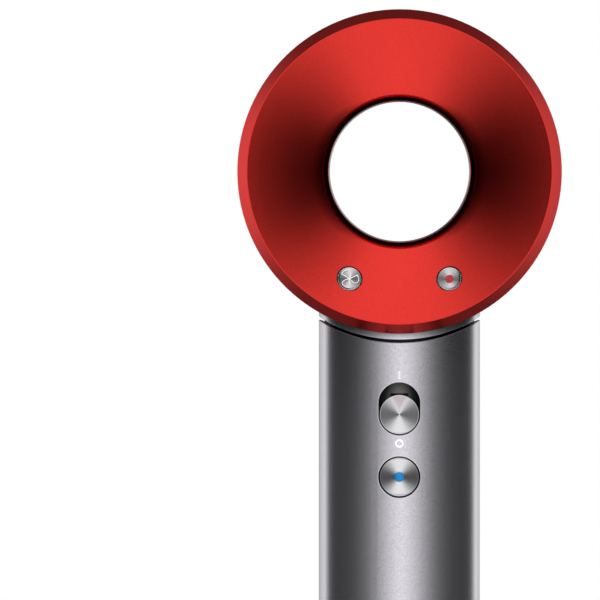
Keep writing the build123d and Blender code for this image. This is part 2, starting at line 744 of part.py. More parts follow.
with BuildPart() as ioniser_module:
    ioniser_front_y = BOARD_Y + IONISER_LENGTH
    ioniser_r = HEAD_IN_R - IONISER_GAP
    head_turned(
        [
            (BOARD_Y, IONISER_INNER_R),
            (ioniser_front_y, IONISER_INNER_R),
            (ioniser_front_y, ioniser_r),
            (BOARD_Y, ioniser_r),
        ],
        start=IONISER_POST_ANGLE + IONISER_HALF_ANGLE,
        sweep_angle=2 * IONISER_HALF_ANGLE,
    )
ioniser_module.part.label = "ioniser_module"
export_step(ioniser_module.part, "parts/ioniser_module.step")

with BuildPart() as ioniser_needle:
    needle_pitch_r = (SLEEVE_R + ioniser_r) / 2
    rod(
        head_plane(ioniser_front_y),
        NEEDLE_R,
        -NEEDLE_LENGTH,
        0,
        head_polar(needle_pitch_r, IONISER_POST_ANGLE),
    )
ioniser_needle.part.label = "ioniser_needle"
export_step(ioniser_needle.part, "parts/ioniser_needle.step")

# Speed and heat buttons on the bell; the heat button has a coloured dot let into its face


def head_button(angle):
    """Cap, retaining flange and stem of one button, along its own axis."""
    plane = button_plane(angle)
    flange_end = BUTTON_FLANGE_DEPTH + BUTTON_FLANGE
    rod(plane, BUTTON_R, -BUTTON_FLANGE_DEPTH, -BUTTON_SINK)
    rod(plane, BUTTON_R + BUTTON_FLANGE, -flange_end, -BUTTON_FLANGE_DEPTH)
    rod(plane, BUTTON_STEM_R, -button_end, -flange_end)


with BuildPart() as speed_button:
    head_button(SPEED_ANGLE)
speed_button.part.label = "speed_button"
export_step(speed_button.part, "parts/speed_button.step")

dot_floor = -BUTTON_SINK - DOT_DEPTH

with BuildPart() as heat_button:
    head_button(HEAT_ANGLE)
    rod(button_plane(HEAT_ANGLE), HEAT_DOT_R + PRESS, dot_floor, -BUTTON_SINK, mode=Mode.SUBTRACT)
heat_button.part.label = "heat_button"
export_step(heat_button.part, "parts/heat_button.step")

with BuildPart() as heat_button_dot:
    rod(button_plane(HEAT_ANGLE), HEAT_DOT_R, dot_floor, -BUTTON_SINK)
heat_button_dot.part.label = "heat_button_dot"
export_step(heat_button_dot.part, "parts/heat_button_dot.step")

# Neck: saddle collar under the barrel with a spigot into both barrel and handle, and its seal

with BuildPart() as neck_collar:
    with BuildSketch(Plane.XY.offset(HEAD_Z - 2 * HEAD_R)):
        Circle(HANDLE_R)
    extrude(amount=2 * HEAD_R)
    rod(head_plane(0), COLLAR_R, -2 * HANDLE_R, 2 * HANDLE_R, mode=Mode.INTERSECT)
    rod(head_plane(0), HEAD_R + PRESS, -2 * HANDLE_R, 2 * HANDLE_R, mode=Mode.SUBTRACT)
    spigot_top_z = HEAD_Z - HEAD_R + SPIGOT_RISE
    handle_disc(SPIGOT_R, SPIGOT_LOW_Z, spigot_top_z)
    handle_disc(SPIGOT_IN_R, SPIGOT_LOW_Z, spigot_top_z, Mode.SUBTRACT)
    seal_mid_z = SPIGOT_LOW_Z + SPIGOT_ENGAGE / 2
    neck_groove_low_z = seal_mid_z - NECK_SEAL_HEIGHT / 2 - PRESS
    neck_groove_high_z = seal_mid_z + NECK_SEAL_HEIGHT / 2 + PRESS
    neck_groove_r = SPIGOT_R - NECK_SEAL_DEPTH
    handle_ring(HANDLE_R, neck_groove_r, neck_groove_low_z, neck_groove_high_z, Mode.SUBTRACT)
    fillet(neck_collar.edges().filter_by(on_handle).sort_by(Axis.Z)[0], EDGE)
neck_collar.part.label = "neck_collar"
export_step(neck_collar.part, "parts/neck_collar.step")

with BuildPart() as neck_seal:
    handle_ring(
        HANDLE_IN_R - PRESS,
        neck_groove_r + PRESS,
        neck_groove_low_z + PRESS,
        neck_groove_high_z - PRESS,
    )
neck_seal.part.label = "neck_seal"
export_step(neck_seal.part, "parts/neck_seal.step")

# Handle: outer tube cut to the head at its top, with a slot and a round hole for the controls

with BuildPart() as handle_shell:
    handle_ring(HANDLE_R, HANDLE_IN_R, HANDLE_BASE_Z, HEAD_Z)
    rod(head_plane(0), SADDLE_R, -2 * HANDLE_R, 2 * HANDLE_R, mode=Mode.SUBTRACT)
    with BuildSketch(control_plane(-HANDLE_R)):
        with Locations((0, SLOT_CENTRE_Z)):
            SlotOverall(SLOT_LENGTH, 2 * SLOT_R, rotation=90)
        with Locations((0, COOL_Z)):
            Circle(COOL_HOLE_R)
    extrude(amount=-HANDLE_R / 2, mode=Mode.SUBTRACT)
    openings_low_z = COOL_Z - COOL_HOLE_R
    outside_edges = handle_shell.edges().filter_by(on_handle)
    fillet(outside_edges.filter_by(lambda edge: edge.center().Z > openings_low_z), EDGE)
handle_shell.part.label = "handle_shell"
export_step(handle_shell.part, "parts/handle_shell.step")

# Black carrier behind the slot and the hole: guides the slider and the cool button

with BuildPart() as control_carrier:
    with BuildSketch(Plane.XY.offset(CARRIER_LOW_Z)):
        Circle(HANDLE_IN_R - SLIP)
        with Locations((0, CARRIER_BACK_Y - HANDLE_R / 2)):
            Rectangle(2 * CARRIER_HALF_WIDTH, HANDLE_R, mode=Mode.INTERSECT)
    extrude(amount=CARRIER_TOP_Z - CARRIER_LOW_Z)
    leg_in_x = CARRIER_HALF_WIDTH - LEG_ROOT
    leg_out_x = leg_in_x + LEG_WIDTH
    leg_front_y = CARRIER_BACK_Y - LEG_ROOT
    for leg_low_z in (CARRIER_LOW_Z, CARRIER_TOP_Z - LEG_HEIGHT):
        leg_high_z = leg_low_z + LEG_HEIGHT
        block((leg_in_x, leg_front_y, leg_low_z), (leg_out_x, 0, leg_high_z))
        block((-leg_out_x, leg_front_y, leg_low_z), (-leg_in_x, 0, leg_high_z))
    with BuildSketch(control_plane(SLOT_FLOOR_Y)):
        with Locations((0, SLOT_CENTRE_Z)):
            SlotOverall(SLOT_LENGTH, 2 * SLOT_R, rotation=90)
    extrude(amount=HANDLE_R, mode=Mode.SUBTRACT)
    block(
        (-STEM / 2 - GUIDE, SLOT_FLOOR_Y, SLOT_CENTRE_Z - (STEM + SLIDER_TRAVEL) / 2 - GUIDE),
        (STEM / 2 + GUIDE, CARRIER_BACK_Y, SLOT_CENTRE_Z + (STEM + SLIDER_TRAVEL) / 2 + GUIDE),
        Mode.SUBTRACT,
    )
    cool_plane = control_plane(COOL_FLOOR_Y)
    rod(cool_plane, COOL_HOLE_R, 0, HANDLE_R, (0, COOL_Z), Mode.SUBTRACT)
    rod(cool_plane, COOL_STEM_R + GUIDE, -CARRIER_FLOOR, 0, (0, COOL_Z), Mode.SUBTRACT)
control_carrier.part.label = "control_carrier"
export_step(control_carrier.part, "parts/control_carrier.step")

# Power slider: round thumb disc flush at its sides, with a stem through the carrier

with BuildPart() as power_slider:
    rod(control_plane(FACE_Y), SLIDER_R, -DISC, 0, (0, SLIDER_Z))
    block(
        (-STEM / 2, DISC_BACK_Y, SLIDER_Z - STEM / 2),
        (STEM / 2, CARRIER_BACK_Y + STEM_REACH, SLIDER_Z + STEM / 2),
    )
power_slider.part.label = "power_slider"
export_step(power_slider.part, "parts/power_slider.step")

# Cool button with a clear blue dot in its face, a stem and a retaining flange

with BuildPart() as cool_button:
    cool_face = control_plane(FACE_Y)
    flange_depth = COOL_FLANGE_Y - FACE_Y
    rod(cool_face, COOL_R, -DISC, 0, (0, COOL_Z))
    rod(cool_face, COOL_STEM_R, -flange_depth, -DISC, (0, COOL_Z))
    rod(cool_face, COOL_FLANGE_R, -flange_depth - COOL_FLANGE, -flange_depth, (0, COOL_Z))
    rod(cool_face, COOL_LENS_R + PRESS, -DOT_DEPTH, 0, (0, COOL_Z), Mode.SUBTRACT)
cool_button.part.label = "cool_button"
export_step(cool_button.part, "parts/cool_button.step")

with BuildPart() as cool_button_lens:
    rod(cool_face, COOL_LENS_R, -DOT_DEPTH, 0, (0, COOL_Z))
cool_button_lens.part.label = "cool_button_lens"
export_step(cool_button_lens.part, "parts/cool_button_lens.step")

# Chassis plate across the handle, with the switch board, its screws and the two switches

with BuildPart() as handle_chassis:
    chassis_half = HANDLE_IN_R - CLEAR
    tongue_half = SPIGOT_IN_R - GUIDE
    chassis_top_z = CARRIER_TOP_Z
    block((-chassis_half, 0, chassis_top_z - CHASSIS_LENGTH), (chassis_half, CHASSIS, chassis_top_z))
    block((-tongue_half, 0, chassis_top_z), (tongue_half, CHASSIS, HANDLE_TOP_Z))
    for drop in CHASSIS_SCREW_DROPS:
        at_screw = (0, HANDLE_TOP_Z - drop)
        rod(control_plane(0), POST_R, 0, BOARD_STANDOFF, at_screw)
        rod(control_plane(0), SCREW_R + SLIP, -CHASSIS, BOARD_STANDOFF, at_screw, Mode.SUBTRACT)
handle_chassis.part.label = "handle_chassis"
export_step(handle_chassis.part, "parts/handle_chassis.step")

board_low_z = COOL_Z - SWITCH_BOARD_BELOW

with BuildPart() as switch_board:
    block(
        (-SWITCH_BOARD_HALF_WIDTH, SWITCH_BOARD_Y, board_low_z),
        (SWITCH_BOARD_HALF_WIDTH, -BOARD_STANDOFF, CARRIER_TOP_Z),
    )
    for drop in CHASSIS_SCREW_DROPS:
        at_screw = (0, HANDLE_TOP_Z - drop)
        rod(control_plane(SWITCH_BOARD_Y), SCREW_R + GUIDE, -SWITCH_BOARD, 0, at_screw, Mode.SUBTRACT)
switch_board.part.label = "switch_board"
export_step(switch_board.part, "parts/switch_board.step")

with BuildPart() as chassis_screws:
    for drop in CHASSIS_SCREW_DROPS:
        at_screw = (0, HANDLE_TOP_Z - drop)
        rod(control_plane(SWITCH_BOARD_Y), SCREW_HEAD_R, 0, SCREW_HEAD, at_screw)
        rod(control_plane(SWITCH_BOARD_Y), SCREW_R, -SCREW_LENGTH, 0, at_screw)
chassis_screws.part.label = "chassis_screws"
export_step(chassis_screws.part, "parts/chassis_screws.step")

with BuildPart() as power_switch:
    half_width = POWER_SWITCH_SIZE[0] / 2
    half_height = POWER_SWITCH_SIZE[1] / 2
    switch_top_y = CARRIER_BACK_Y + STEM_REACH + CLEAR
    block(
        (-half_width, switch_top_y, SLOT_CENTRE_Z - half_height),
        (half_width, SWITCH_BOARD_Y, SLOT_CENTRE_Z + half_height),
    )
power_switch.part.label = "power_switch"
export_step(power_switch.part, "parts/power_switch.step")

with BuildPart() as cool_switch:
    half_width = COOL_SWITCH_SIZE[0] / 2
    half_height = COOL_SWITCH_SIZE[1] / 2
    switch_top_y = COOL_FLANGE_Y + COOL_FLANGE + COOL_TRAVEL + CLEAR
    block(
        (-half_width, switch_top_y, COOL_Z - half_height),
        (half_width, SWITCH_BOARD_Y, COOL_Z + half_height),
    )
cool_switch.part.label = "cool_switch"
export_step(cool_switch.part, "parts/cool_switch.step")

# Motor: rubber mount, frame with its shroud, vanes and hub, stator, bearings and board

with BuildPart() as motor_mount:
    mount_in_r = SHROUD_R + SLIP
    mount_low_z = MOTOR_BASE_Z - MOUNT_LIP
    mount_high_z = MOTOR_TOP_Z + MOUNT_LIP
    handle_turned([
        (SHROUD_IN_R, mount_low_z),
        (MOUNT_R, mount_low_z),
        (MOUNT_R, mount_high_z),
        (SHROUD_IN_R, mount_high_z),
        (SHROUD_IN_R, MOTOR_TOP_Z),
        (mount_in_r, MOTOR_TOP_Z),
        (mount_in_r, MOTOR_BASE_Z),
        (SHROUD_IN_R, MOTOR_BASE_Z),
    ])
motor_mount.part.label = "motor_mount"
export_step(motor_mount.part, "parts/motor_mount.step")

bearing_spans = (
    (HUB_BASE_Z, HUB_BASE_Z + BEARING_LENGTH),
    (MOTOR_TOP_Z - BEARING_LENGTH, MOTOR_TOP_Z),
)

with BuildPart() as motor_frame:
    handle_ring(SHROUD_R, SHROUD_IN_R, MOTOR_BASE_Z, MOTOR_TOP_Z)
    handle_ring(HUB_R, HUB_IN_R, HUB_BASE_Z, MOTOR_TOP_Z)
    handle_ring(HUB_R, BEARING_R, HUB_BASE_Z, HUB_BASE_Z + BEARING_LENGTH / 2)
    handle_ring(HUB_R, BEARING_R, MOTOR_TOP_Z - BEARING_LENGTH / 2, MOTOR_TOP_Z)
    for low_z, high_z in bearing_spans:
        handle_ring(BEARING_R + BEARING_BOSS_WALL, BEARING_R, low_z, high_z)
    vane_inner_r = HUB_R - HUB_WALL / 2
    vane_outer_r = SHROUD_IN_R + SHROUD_WALL / 2
    with BuildSketch(Plane.XY.offset(HUB_BASE_Z)):
        with PolarLocations((vane_inner_r + vane_outer_r) / 2, VANE_COUNT):
            Rectangle(vane_outer_r - vane_inner_r, VANE)
    extrude(amount=VANE_LENGTH)
motor_frame.part.label = "motor_frame"
export_step(motor_frame.part, "parts/motor_frame.step")

core_low_z = CORE_MID_Z - CORE_LENGTH / 2
core_high_z = CORE_MID_Z + CORE_LENGTH / 2
core_r = HUB_IN_R - SLIP
core_bore_r = MAGNET_ROTOR_R + AIR_GAP

with BuildPart() as stator_core:
    handle_ring(core_r, core_r - YOKE_WALL, core_low_z, core_high_z)
    with BuildSketch(Plane.XY.offset(core_low_z)):
        with PolarLocations((core_r - YOKE_WALL / 2 + core_bore_r) / 2, TOOTH_COUNT):
            Rectangle(core_r - YOKE_WALL / 2 - core_bore_r + AIR_GAP, TOOTH)
    extrude(amount=CORE_LENGTH)
    handle_disc(core_bore_r, core_low_z, core_high_z, Mode.SUBTRACT)
stator_core.part.label = "stator_core"
export_step(stator_core.part, "parts/stator_core.step")

with BuildPart() as stator_coils:
    coil_mid_r = (COIL_INNER_R + COIL_OUTER_R) / 2
    with BuildSketch(Plane.XY.offset(core_low_z - COIL_BUILD)):
        with PolarLocations(coil_mid_r, TOOTH_COUNT):
            Rectangle(COIL_OUTER_R - COIL_INNER_R, TOOTH + 2 * COIL_BUILD)
    extrude(amount=CORE_LENGTH + 2 * COIL_BUILD)
    with BuildSketch(Plane.XY.offset(core_low_z - SLIP)):
        with PolarLocations(coil_mid_r, TOOTH_COUNT):
            Rectangle(COIL_OUTER_R - COIL_INNER_R, TOOTH + 2 * SLIP)
    extrude(amount=CORE_LENGTH + 2 * SLIP, mode=Mode.SUBTRACT)
stator_coils.part.label = "stator_coils"
export_step(stator_coils.part, "parts/stator_coils.step")

with BuildPart() as motor_bearings:
    for low_z, high_z in bearing_spans:
        handle_ring(BEARING_R - PRESS, SHAFT_R + RUNNING, low_z, high_z)
motor_bearings.part.label = "motor_bearings"
export_step(motor_bearings.part, "parts/motor_bearings.step")

with BuildPart() as motor_board:
    handle_ring(MOTOR_BOARD_R, BEARING_R / 2, MOTOR_TOP_Z, MOTOR_TOP_Z + BOARD)
motor_board.part.label = "motor_board"
export_step(motor_board.part, "parts/motor_board.step")

# Rotor: shaft, ring magnet and the bladed fan wheel below the motor

with BuildPart() as rotor_shaft:
    shaft_top_z = MOTOR_TOP_Z - SHAFT_TOP_SETBACK
    handle_disc(SHAFT_R, shaft_top_z - SHAFT_LENGTH, shaft_top_z)
rotor_shaft.part.label = "rotor_shaft"
export_step(rotor_shaft.part, "parts/rotor_shaft.step")

with BuildPart() as rotor_magnet:
    handle_ring(MAGNET_ROTOR_R, SHAFT_R + PRESS, core_low_z, core_high_z)
rotor_magnet.part.label = "rotor_magnet"
export_step(rotor_magnet.part, "parts/rotor_magnet.step")

with BuildPart() as impeller:
    impeller_low_z = IMPELLER_TOP_Z - IMPELLER_LENGTH
    handle_disc(IMPELLER_HUB_R, impeller_low_z, IMPELLER_TOP_Z)
    tip_r = SHROUD_IN_R - TIP_CLEAR
    blade_reach = tip_r - IMPELLER_HUB_R / 2
    with Locations((0, 0, (impeller_low_z + IMPELLER_TOP_Z) / 2)):
        with PolarLocations(IMPELLER_HUB_R / 2 + blade_reach / 2, BLADE_COUNT):
            Box(blade_reach, BLADE, 2 * IMPELLER_LENGTH, rotation=(BLADE_TILT, 0, 0))
    handle_disc(tip_r, impeller_low_z, IMPELLER_TOP_Z, Mode.INTERSECT)
    handle_disc(SHAFT_R + PRESS, impeller_low_z, IMPELLER_TOP_Z, Mode.SUBTRACT)
impeller.part.label = "impeller"
export_step(impeller.part, "parts/impeller.step")

# Foot of the handle: base ring, mesh tube, end cap, and the cage that slides off over them

with BuildPart() as base_ring:
    base_ring_r = HANDLE_IN_R - SLIP
    cage_guide_r = CAGE_IN_R - CLEAR
    base_ring_high_z = BASE_RING_LOW_Z + BASE_RING_LENGTH
    handle_turned([
        (SHROUD_IN_R, base_ring_high_z),
        (base_ring_r, base_ring_high_z),
        (base_ring_r, HANDLE_BASE_Z),
        (cage_guide_r, HANDLE_BASE_Z),
        (cage_guide_r, BASE_RING_LOW_Z),
        (MESH_R + PRESS, BASE_RING_LOW_Z),
        (MESH_R + PRESS, MESH_TOP_Z),
        (SHROUD_IN_R, MESH_TOP_Z),
    ])
base_ring.part.label = "base_ring"
export_step(base_ring.part, "parts/base_ring.step")

with BuildPart() as filter_mesh:
    handle_ring(MESH_R, MESH_R - MESH_WALL, MESH_LOW_Z, MESH_TOP_Z)
filter_mesh.part.label = "filter_mesh"
export_step(filter_mesh.part, "parts/filter_mesh.step")

with BuildPart() as filter_cage:
    cage_floor_z = CAGE_BASE_Z + CAGE_WALL
    cage_foot_z = CAGE_BASE_Z + CAGE_FOOT + CAGE_WALL / 2
    handle_turned([
        (CAGE_IN_R, CAGE_TOP_Z),
        (HANDLE_R, CAGE_TOP_Z),
        (HANDLE_R, CAGE_BASE_Z + CAGE_FOOT),
        (CAGE_FOOT_R, CAGE_BASE_Z),
        (CAGE_HOLE_R, CAGE_BASE_Z),
        (CAGE_HOLE_R, cage_floor_z),
        (CAGE_IN_R, cage_foot_z),
    ])
filter_cage.part.label = "filter_cage"
export_step(filter_cage.part, "parts/filter_cage.step")

with BuildPart() as end_cap:
    cap_boss_r = CAGE_HOLE_R - CLEAR
    cap_lip_r = MESH_R - MESH_WALL - SLIP
    cap_flange_r = MESH_R + MESH_WALL
    foot_slope = (cage_foot_z - cage_floor_z) / (CAGE_IN_R - CAGE_HOLE_R)
    cap_flange_z = cage_floor_z + (cap_flange_r - CAGE_HOLE_R) * foot_slope + CAP_CLEAR
    cap_boss_z = cage_floor_z + (cap_boss_r - CAGE_HOLE_R) * foot_slope + CAP_CLEAR
    handle_turned([
        (CORD_R + SLIP, CAP_TOP_Z),
        (cap_lip_r, CAP_TOP_Z),
        (cap_lip_r, MESH_LOW_Z),
        (cap_flange_r, MESH_LOW_Z),
        (cap_flange_r, cap_flange_z),
        (cap_boss_r, cap_boss_z),
        (cap_boss_r, CAGE_BASE_Z),
        (RELIEF_PLUG_R + PRESS, CAGE_BASE_Z),
        (RELIEF_PLUG_R + PRESS, CAP_PLATE_Z),
        (CORD_R + SLIP, CAP_PLATE_Z),
    ])
    for screw_x in (-CLAMP_SCREW_X, CLAMP_SCREW_X):
        rod(Plane.XY, SCREW_R + SLIP, CLAMP_SCREW_LOW_Z, CAP_TOP_Z, (screw_x, 0), Mode.SUBTRACT)
end_cap.part.label = "end_cap"
export_step(end_cap.part, "parts/end_cap.step")

# Cord clamp on the end cap with its screws, and the cable that runs up through the strain relief

with BuildPart() as cord_clamp:
    half_x = CLAMP_SIZE[0] / 2
    half_y = CLAMP_SIZE[1] / 2
    block((-half_x, -half_y, CAP_TOP_Z), (half_x, half_y, CLAMP_TOP_Z))
    handle_disc(CORD_R + SLIP, CAP_TOP_Z, CLAMP_TOP_Z, Mode.SUBTRACT)
    for screw_x in (-CLAMP_SCREW_X, CLAMP_SCREW_X):
        rod(Plane.XY, SCREW_R + GUIDE, CAP_TOP_Z, CLAMP_TOP_Z, (screw_x, 0), Mode.SUBTRACT)
cord_clamp.part.label = "cord_clamp"
export_step(cord_clamp.part, "parts/cord_clamp.step")

with BuildPart() as clamp_screws:
    for screw_x in (-CLAMP_SCREW_X, CLAMP_SCREW_X):
        rod(Plane.XY, SCREW_HEAD_R, CLAMP_TOP_Z, CLAMP_TOP_Z + SCREW_HEAD, (screw_x, 0))
        rod(Plane.XY, SCREW_R, CLAMP_SCREW_LOW_Z, CLAMP_TOP_Z, (screw_x, 0))
clamp_screws.part.label = "clamp_screws"
export_step(clamp_screws.part, "parts/clamp_screws.step")

with BuildPart() as inner_cable:
    handle_disc(CORD_R, RELIEF_TIP_Z, CLAMP_TOP_Z + CABLE_END)
inner_cable.part.label = "inner_cable"
export_step(inner_cable.part, "parts/inner_cable.step")

# Strain relief: ridged taper with a plug held in the end cap

with BuildPart() as strain_relief:
    ridge_pitch = RELIEF_LENGTH / RELIEF_RIDGES
    ridge_land = ridge_pitch - RELIEF_GROOVE
    ridges = []
    for ridge in range(RELIEF_RIDGES):
        ridge_z = CAGE_BASE_Z - ridge * ridge_pitch
        ridge_r = RELIEF_R + (RELIEF_TIP_R - RELIEF_R) * ridge / (RELIEF_RIDGES - 1)
        groove_bottom_r = ridge_r - RELIEF_GROOVE
        ridges += [
            (ridge_r, ridge_z),
            (ridge_r, ridge_z - ridge_land),
            (groove_bottom_r, ridge_z - ridge_land),
            (groove_bottom_r, ridge_z - ridge_pitch),
        ]
    cable_bore_r = CORD_R + SLIP
    plug_top_z = CAP_PLATE_Z - SLIP
    handle_turned([
        (cable_bore_r, plug_top_z),
        (RELIEF_PLUG_R, plug_top_z),
        (RELIEF_PLUG_R, CAGE_BASE_Z),
        *ridges,
        (cable_bore_r, RELIEF_TIP_Z),
    ])
strain_relief.part.label = "strain_relief"
export_step(strain_relief.part, "parts/strain_relief.step")

# Mains lead: the run from the strain relief, the coil's outer shape, and the tail to the plug


def cord_tube(route):
    """Round cord along a route of straight runs joined by tangent arcs."""
    radii = route_radii(route)
    with BuildLine() as path:
        FilletPolyline(*route, radius=radii)
    line = path.wires()[0]
    with BuildSketch(Plane(origin=line @ 0, z_dir=line % 0)) as section:
        Circle(CORD_R)
    sweep(section.sketch, path=line)
    print("cord bend radii", [round(radius, 1) for radius in radii], "length", round(line.length, 1))


with BuildPart() as cord_lead:
    cord_tube(LEAD_ROUTE)
cord_lead.part.label = "cord_lead"
export_step(cord_lead.part, "parts/cord_lead.step")

with BuildPart() as cord_tail:
    cord_tube(TAIL_ROUTE)
cord_tail.part.label = "cord_tail"
export_step(cord_tail.part, "parts/cord_tail.step")

with BuildPart() as cord_coil:
    with BuildSketch(Plane(origin=(COIL_X, COIL_Y, 0), x_dir=(1, 0, 0), z_dir=(0, -1, 0))):
        with Locations(((COIL_OUTER + COIL_INNER) / 2, (COIL_LOW_Z + COIL_HIGH_Z) / 2)):
            RectangleRounded(COIL_OUTER - COIL_INNER, COIL_HIGH_Z - COIL_LOW_Z, COIL_EDGE)
    revolve(axis=Axis((COIL_X, COIL_Y, 0), (0, 0, 1)))
cord_coil.part.label = "cord_coil"
export_step(cord_coil.part, "parts/cord_coil.step")

# Tie strapped round one side of the coil

with BuildPart() as coil_tie:
    tie_in_y = COIL_Y + COIL_INNER - TIE_SLACK
    tie_out_y = COIL_Y + COIL_OUTER + SLIP
    half_tie = TIE_WIDTH / 2
    block((-half_tie, tie_in_y - TIE, COIL_LOW_Z - TIE), (half_tie, tie_out_y + TIE, COIL_HIGH_Z + TIE))
    block((-half_tie, tie_in_y, COIL_LOW_Z), (half_tie, tie_out_y, COIL_HIGH_Z), Mode.SUBTRACT)
coil_tie.part.label = "coil_tie"
export_step(coil_tie.part, "parts/coil_tie.step")

# Moulded plug lying on the surface, with two round pins

with BuildPart() as plug_body:
    plug_shoulder_y = PLUG_FACE_Y + PLUG_BODY
    with BuildSketch(Plane(origin=(PLUG_X, plug_shoulder_y, PLUG_Z), x_dir=(1, 0, 0), z_dir=(0, -1, 0))):
        SlotOverall(PLUG_WIDTH, PLUG_HEIGHT)
    extrude(amount=PLUG_BODY)
    with BuildSketch(Plane(origin=(PLUG_X, plug_shoulder_y, PLUG_Z), x_dir=(-1, 0, 0), z_dir=(0, 1, 0))):
        SlotOverall(PLUG_WIDTH, PLUG_HEIGHT)
    with BuildSketch(Plane(origin=(PLUG_X, PLUG_ENTRY_Y, PLUG_Z), x_dir=(-1, 0, 0), z_dir=(0, 1, 0))):
        Circle(PLUG_NECK_R)
    loft()
plug_body.part.label = "plug_body"
export_step(plug_body.part, "parts/plug_body.step")

with BuildPart() as plug_pins:
    with BuildSketch(Plane(origin=(PLUG_X, PLUG_FACE_Y, PLUG_Z), x_dir=(1, 0, 0), z_dir=(0, -1, 0))):
        with GridLocations(PIN_SPACING, 0, 2, 1):
            Circle(PIN_R)
    extrude(amount=PIN_LENGTH)
    chamfer(plug_pins.faces().sort_by(Axis.Y)[:2].edges(), PIN_R / 2)
plug_pins.part.label = "plug_pins"
export_step(plug_pins.part, "parts/plug_pins.step")
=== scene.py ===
import json
from math import cos, pi, radians, sin, tan, tau

import bmesh
import bpy
from mathutils import Matrix, Vector


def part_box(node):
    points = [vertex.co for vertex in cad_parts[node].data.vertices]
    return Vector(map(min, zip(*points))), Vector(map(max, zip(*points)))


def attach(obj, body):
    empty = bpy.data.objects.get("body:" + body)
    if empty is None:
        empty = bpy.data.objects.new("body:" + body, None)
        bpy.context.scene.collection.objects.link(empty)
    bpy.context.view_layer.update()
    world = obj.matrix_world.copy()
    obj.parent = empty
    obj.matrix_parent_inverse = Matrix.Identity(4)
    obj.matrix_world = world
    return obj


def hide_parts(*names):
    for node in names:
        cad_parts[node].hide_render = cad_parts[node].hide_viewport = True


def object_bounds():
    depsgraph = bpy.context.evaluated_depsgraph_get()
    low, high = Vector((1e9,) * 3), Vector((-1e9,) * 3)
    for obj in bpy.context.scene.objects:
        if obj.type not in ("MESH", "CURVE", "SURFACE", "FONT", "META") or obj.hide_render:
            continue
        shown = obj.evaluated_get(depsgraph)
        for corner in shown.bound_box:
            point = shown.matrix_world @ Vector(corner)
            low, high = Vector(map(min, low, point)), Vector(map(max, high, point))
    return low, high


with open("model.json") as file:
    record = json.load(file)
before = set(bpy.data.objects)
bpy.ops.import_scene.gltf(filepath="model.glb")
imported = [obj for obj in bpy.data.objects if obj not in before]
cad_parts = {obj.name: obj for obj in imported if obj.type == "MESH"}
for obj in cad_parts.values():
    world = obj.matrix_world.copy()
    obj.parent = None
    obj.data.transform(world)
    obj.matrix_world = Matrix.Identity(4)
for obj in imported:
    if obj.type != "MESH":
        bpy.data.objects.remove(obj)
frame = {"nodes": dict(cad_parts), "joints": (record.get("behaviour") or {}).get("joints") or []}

cad_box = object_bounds()

# Camera: square to the back of the head from about 1.2 m, as a catalogue picture is taken.
# It looks a little down and to one side, so that the head stands high and right in the frame.
LENS = 289.6
SENSOR = 36.0
CAMERA_PLACE = (0.0, -1.1975, 0.110)
CAMERA_AIM = (-0.0206, 1.0, -0.0266)

camera = bpy.data.objects.new("camera", bpy.data.cameras.new("camera"))
camera.data.lens = LENS
camera.data.sensor_width = SENSOR
camera.location = CAMERA_PLACE
camera.rotation_euler = Vector(CAMERA_AIM).to_track_quat("-Z", "Y").to_euler()
bpy.context.scene.collection.objects.link(camera)
bpy.context.scene.camera = camera
bpy.context.scene.view_settings.view_transform = "Standard"


# Studio: a tall soft box behind the camera that carries on over and under the object, two upright
# ones at the rear sides, and dark card between them. The satin finishes then show a bright middle,
# dark flanks and bright edges. The background is plain white.
def add(tree, kind, inputs=None, **settings):
    """Adds a shader node, sets its properties, and sets or links its inputs."""
    made = tree.nodes.new("ShaderNode" + kind)
    for name, value in settings.items():
        setattr(made, name, value)
    for name, value in (inputs or {}).items():
        if isinstance(value, bpy.types.NodeSocket):
            tree.links.new(value, made.inputs[name])
        else:
            made.inputs[name].default_value = value
    return made


def ramp_stops(ramp, stops):
    """Sets a colour ramp's stops, given as position and linear colour or grey."""
    while len(ramp.color_ramp.elements) < len(stops):
        ramp.color_ramp.elements.new(1.0)
    for element, (position, colour) in zip(ramp.color_ramp.elements, stops):
        element.position = position
        element.color = colour if isinstance(colour, list) else (colour, colour, colour, 1.0)


# Light levels by the angle from the camera's side of the object: level with it, and over or under
# it. The other two lists are how much the second counts, by the lean from upright, for the boxes in
# front and for those at the rear.
SIDE_LIGHT = [
    (0, 1.0), (10, 0.92), (21, 0.70), (33, 0.42), (44, 0.20), (56, 0.09), (69, 0.03), (83, 0.01),
    (104, 0.01), (116, 0.03), (126, 0.12), (132, 0.75), (137, 1.0), (148, 0.65), (165, 0.42), (180, 0.35),
]
OVER_LIGHT = [
    (0, 1.10), (18, 1.15), (40, 1.16), (82, 1.20), (92, 0.85), (102, 0.30), (112, 0.09), (134, 0.13),
    (180, 0.05),
]
FRONT_SHARE = [(0, 1.0), (20, 0.92), (45, 0.38), (60, 0.13), (72, 0.03), (90, 0.0)]
REAR_SHARE = [(0, 1.0), (35, 0.95), (50, 0.70), (70, 0.15), (90, 0.0)]
REAR_FROM = [(95, 0.0), (115, 1.0)]
LIGHT_LEVEL = 1.8
BOX_TURN = 3.0

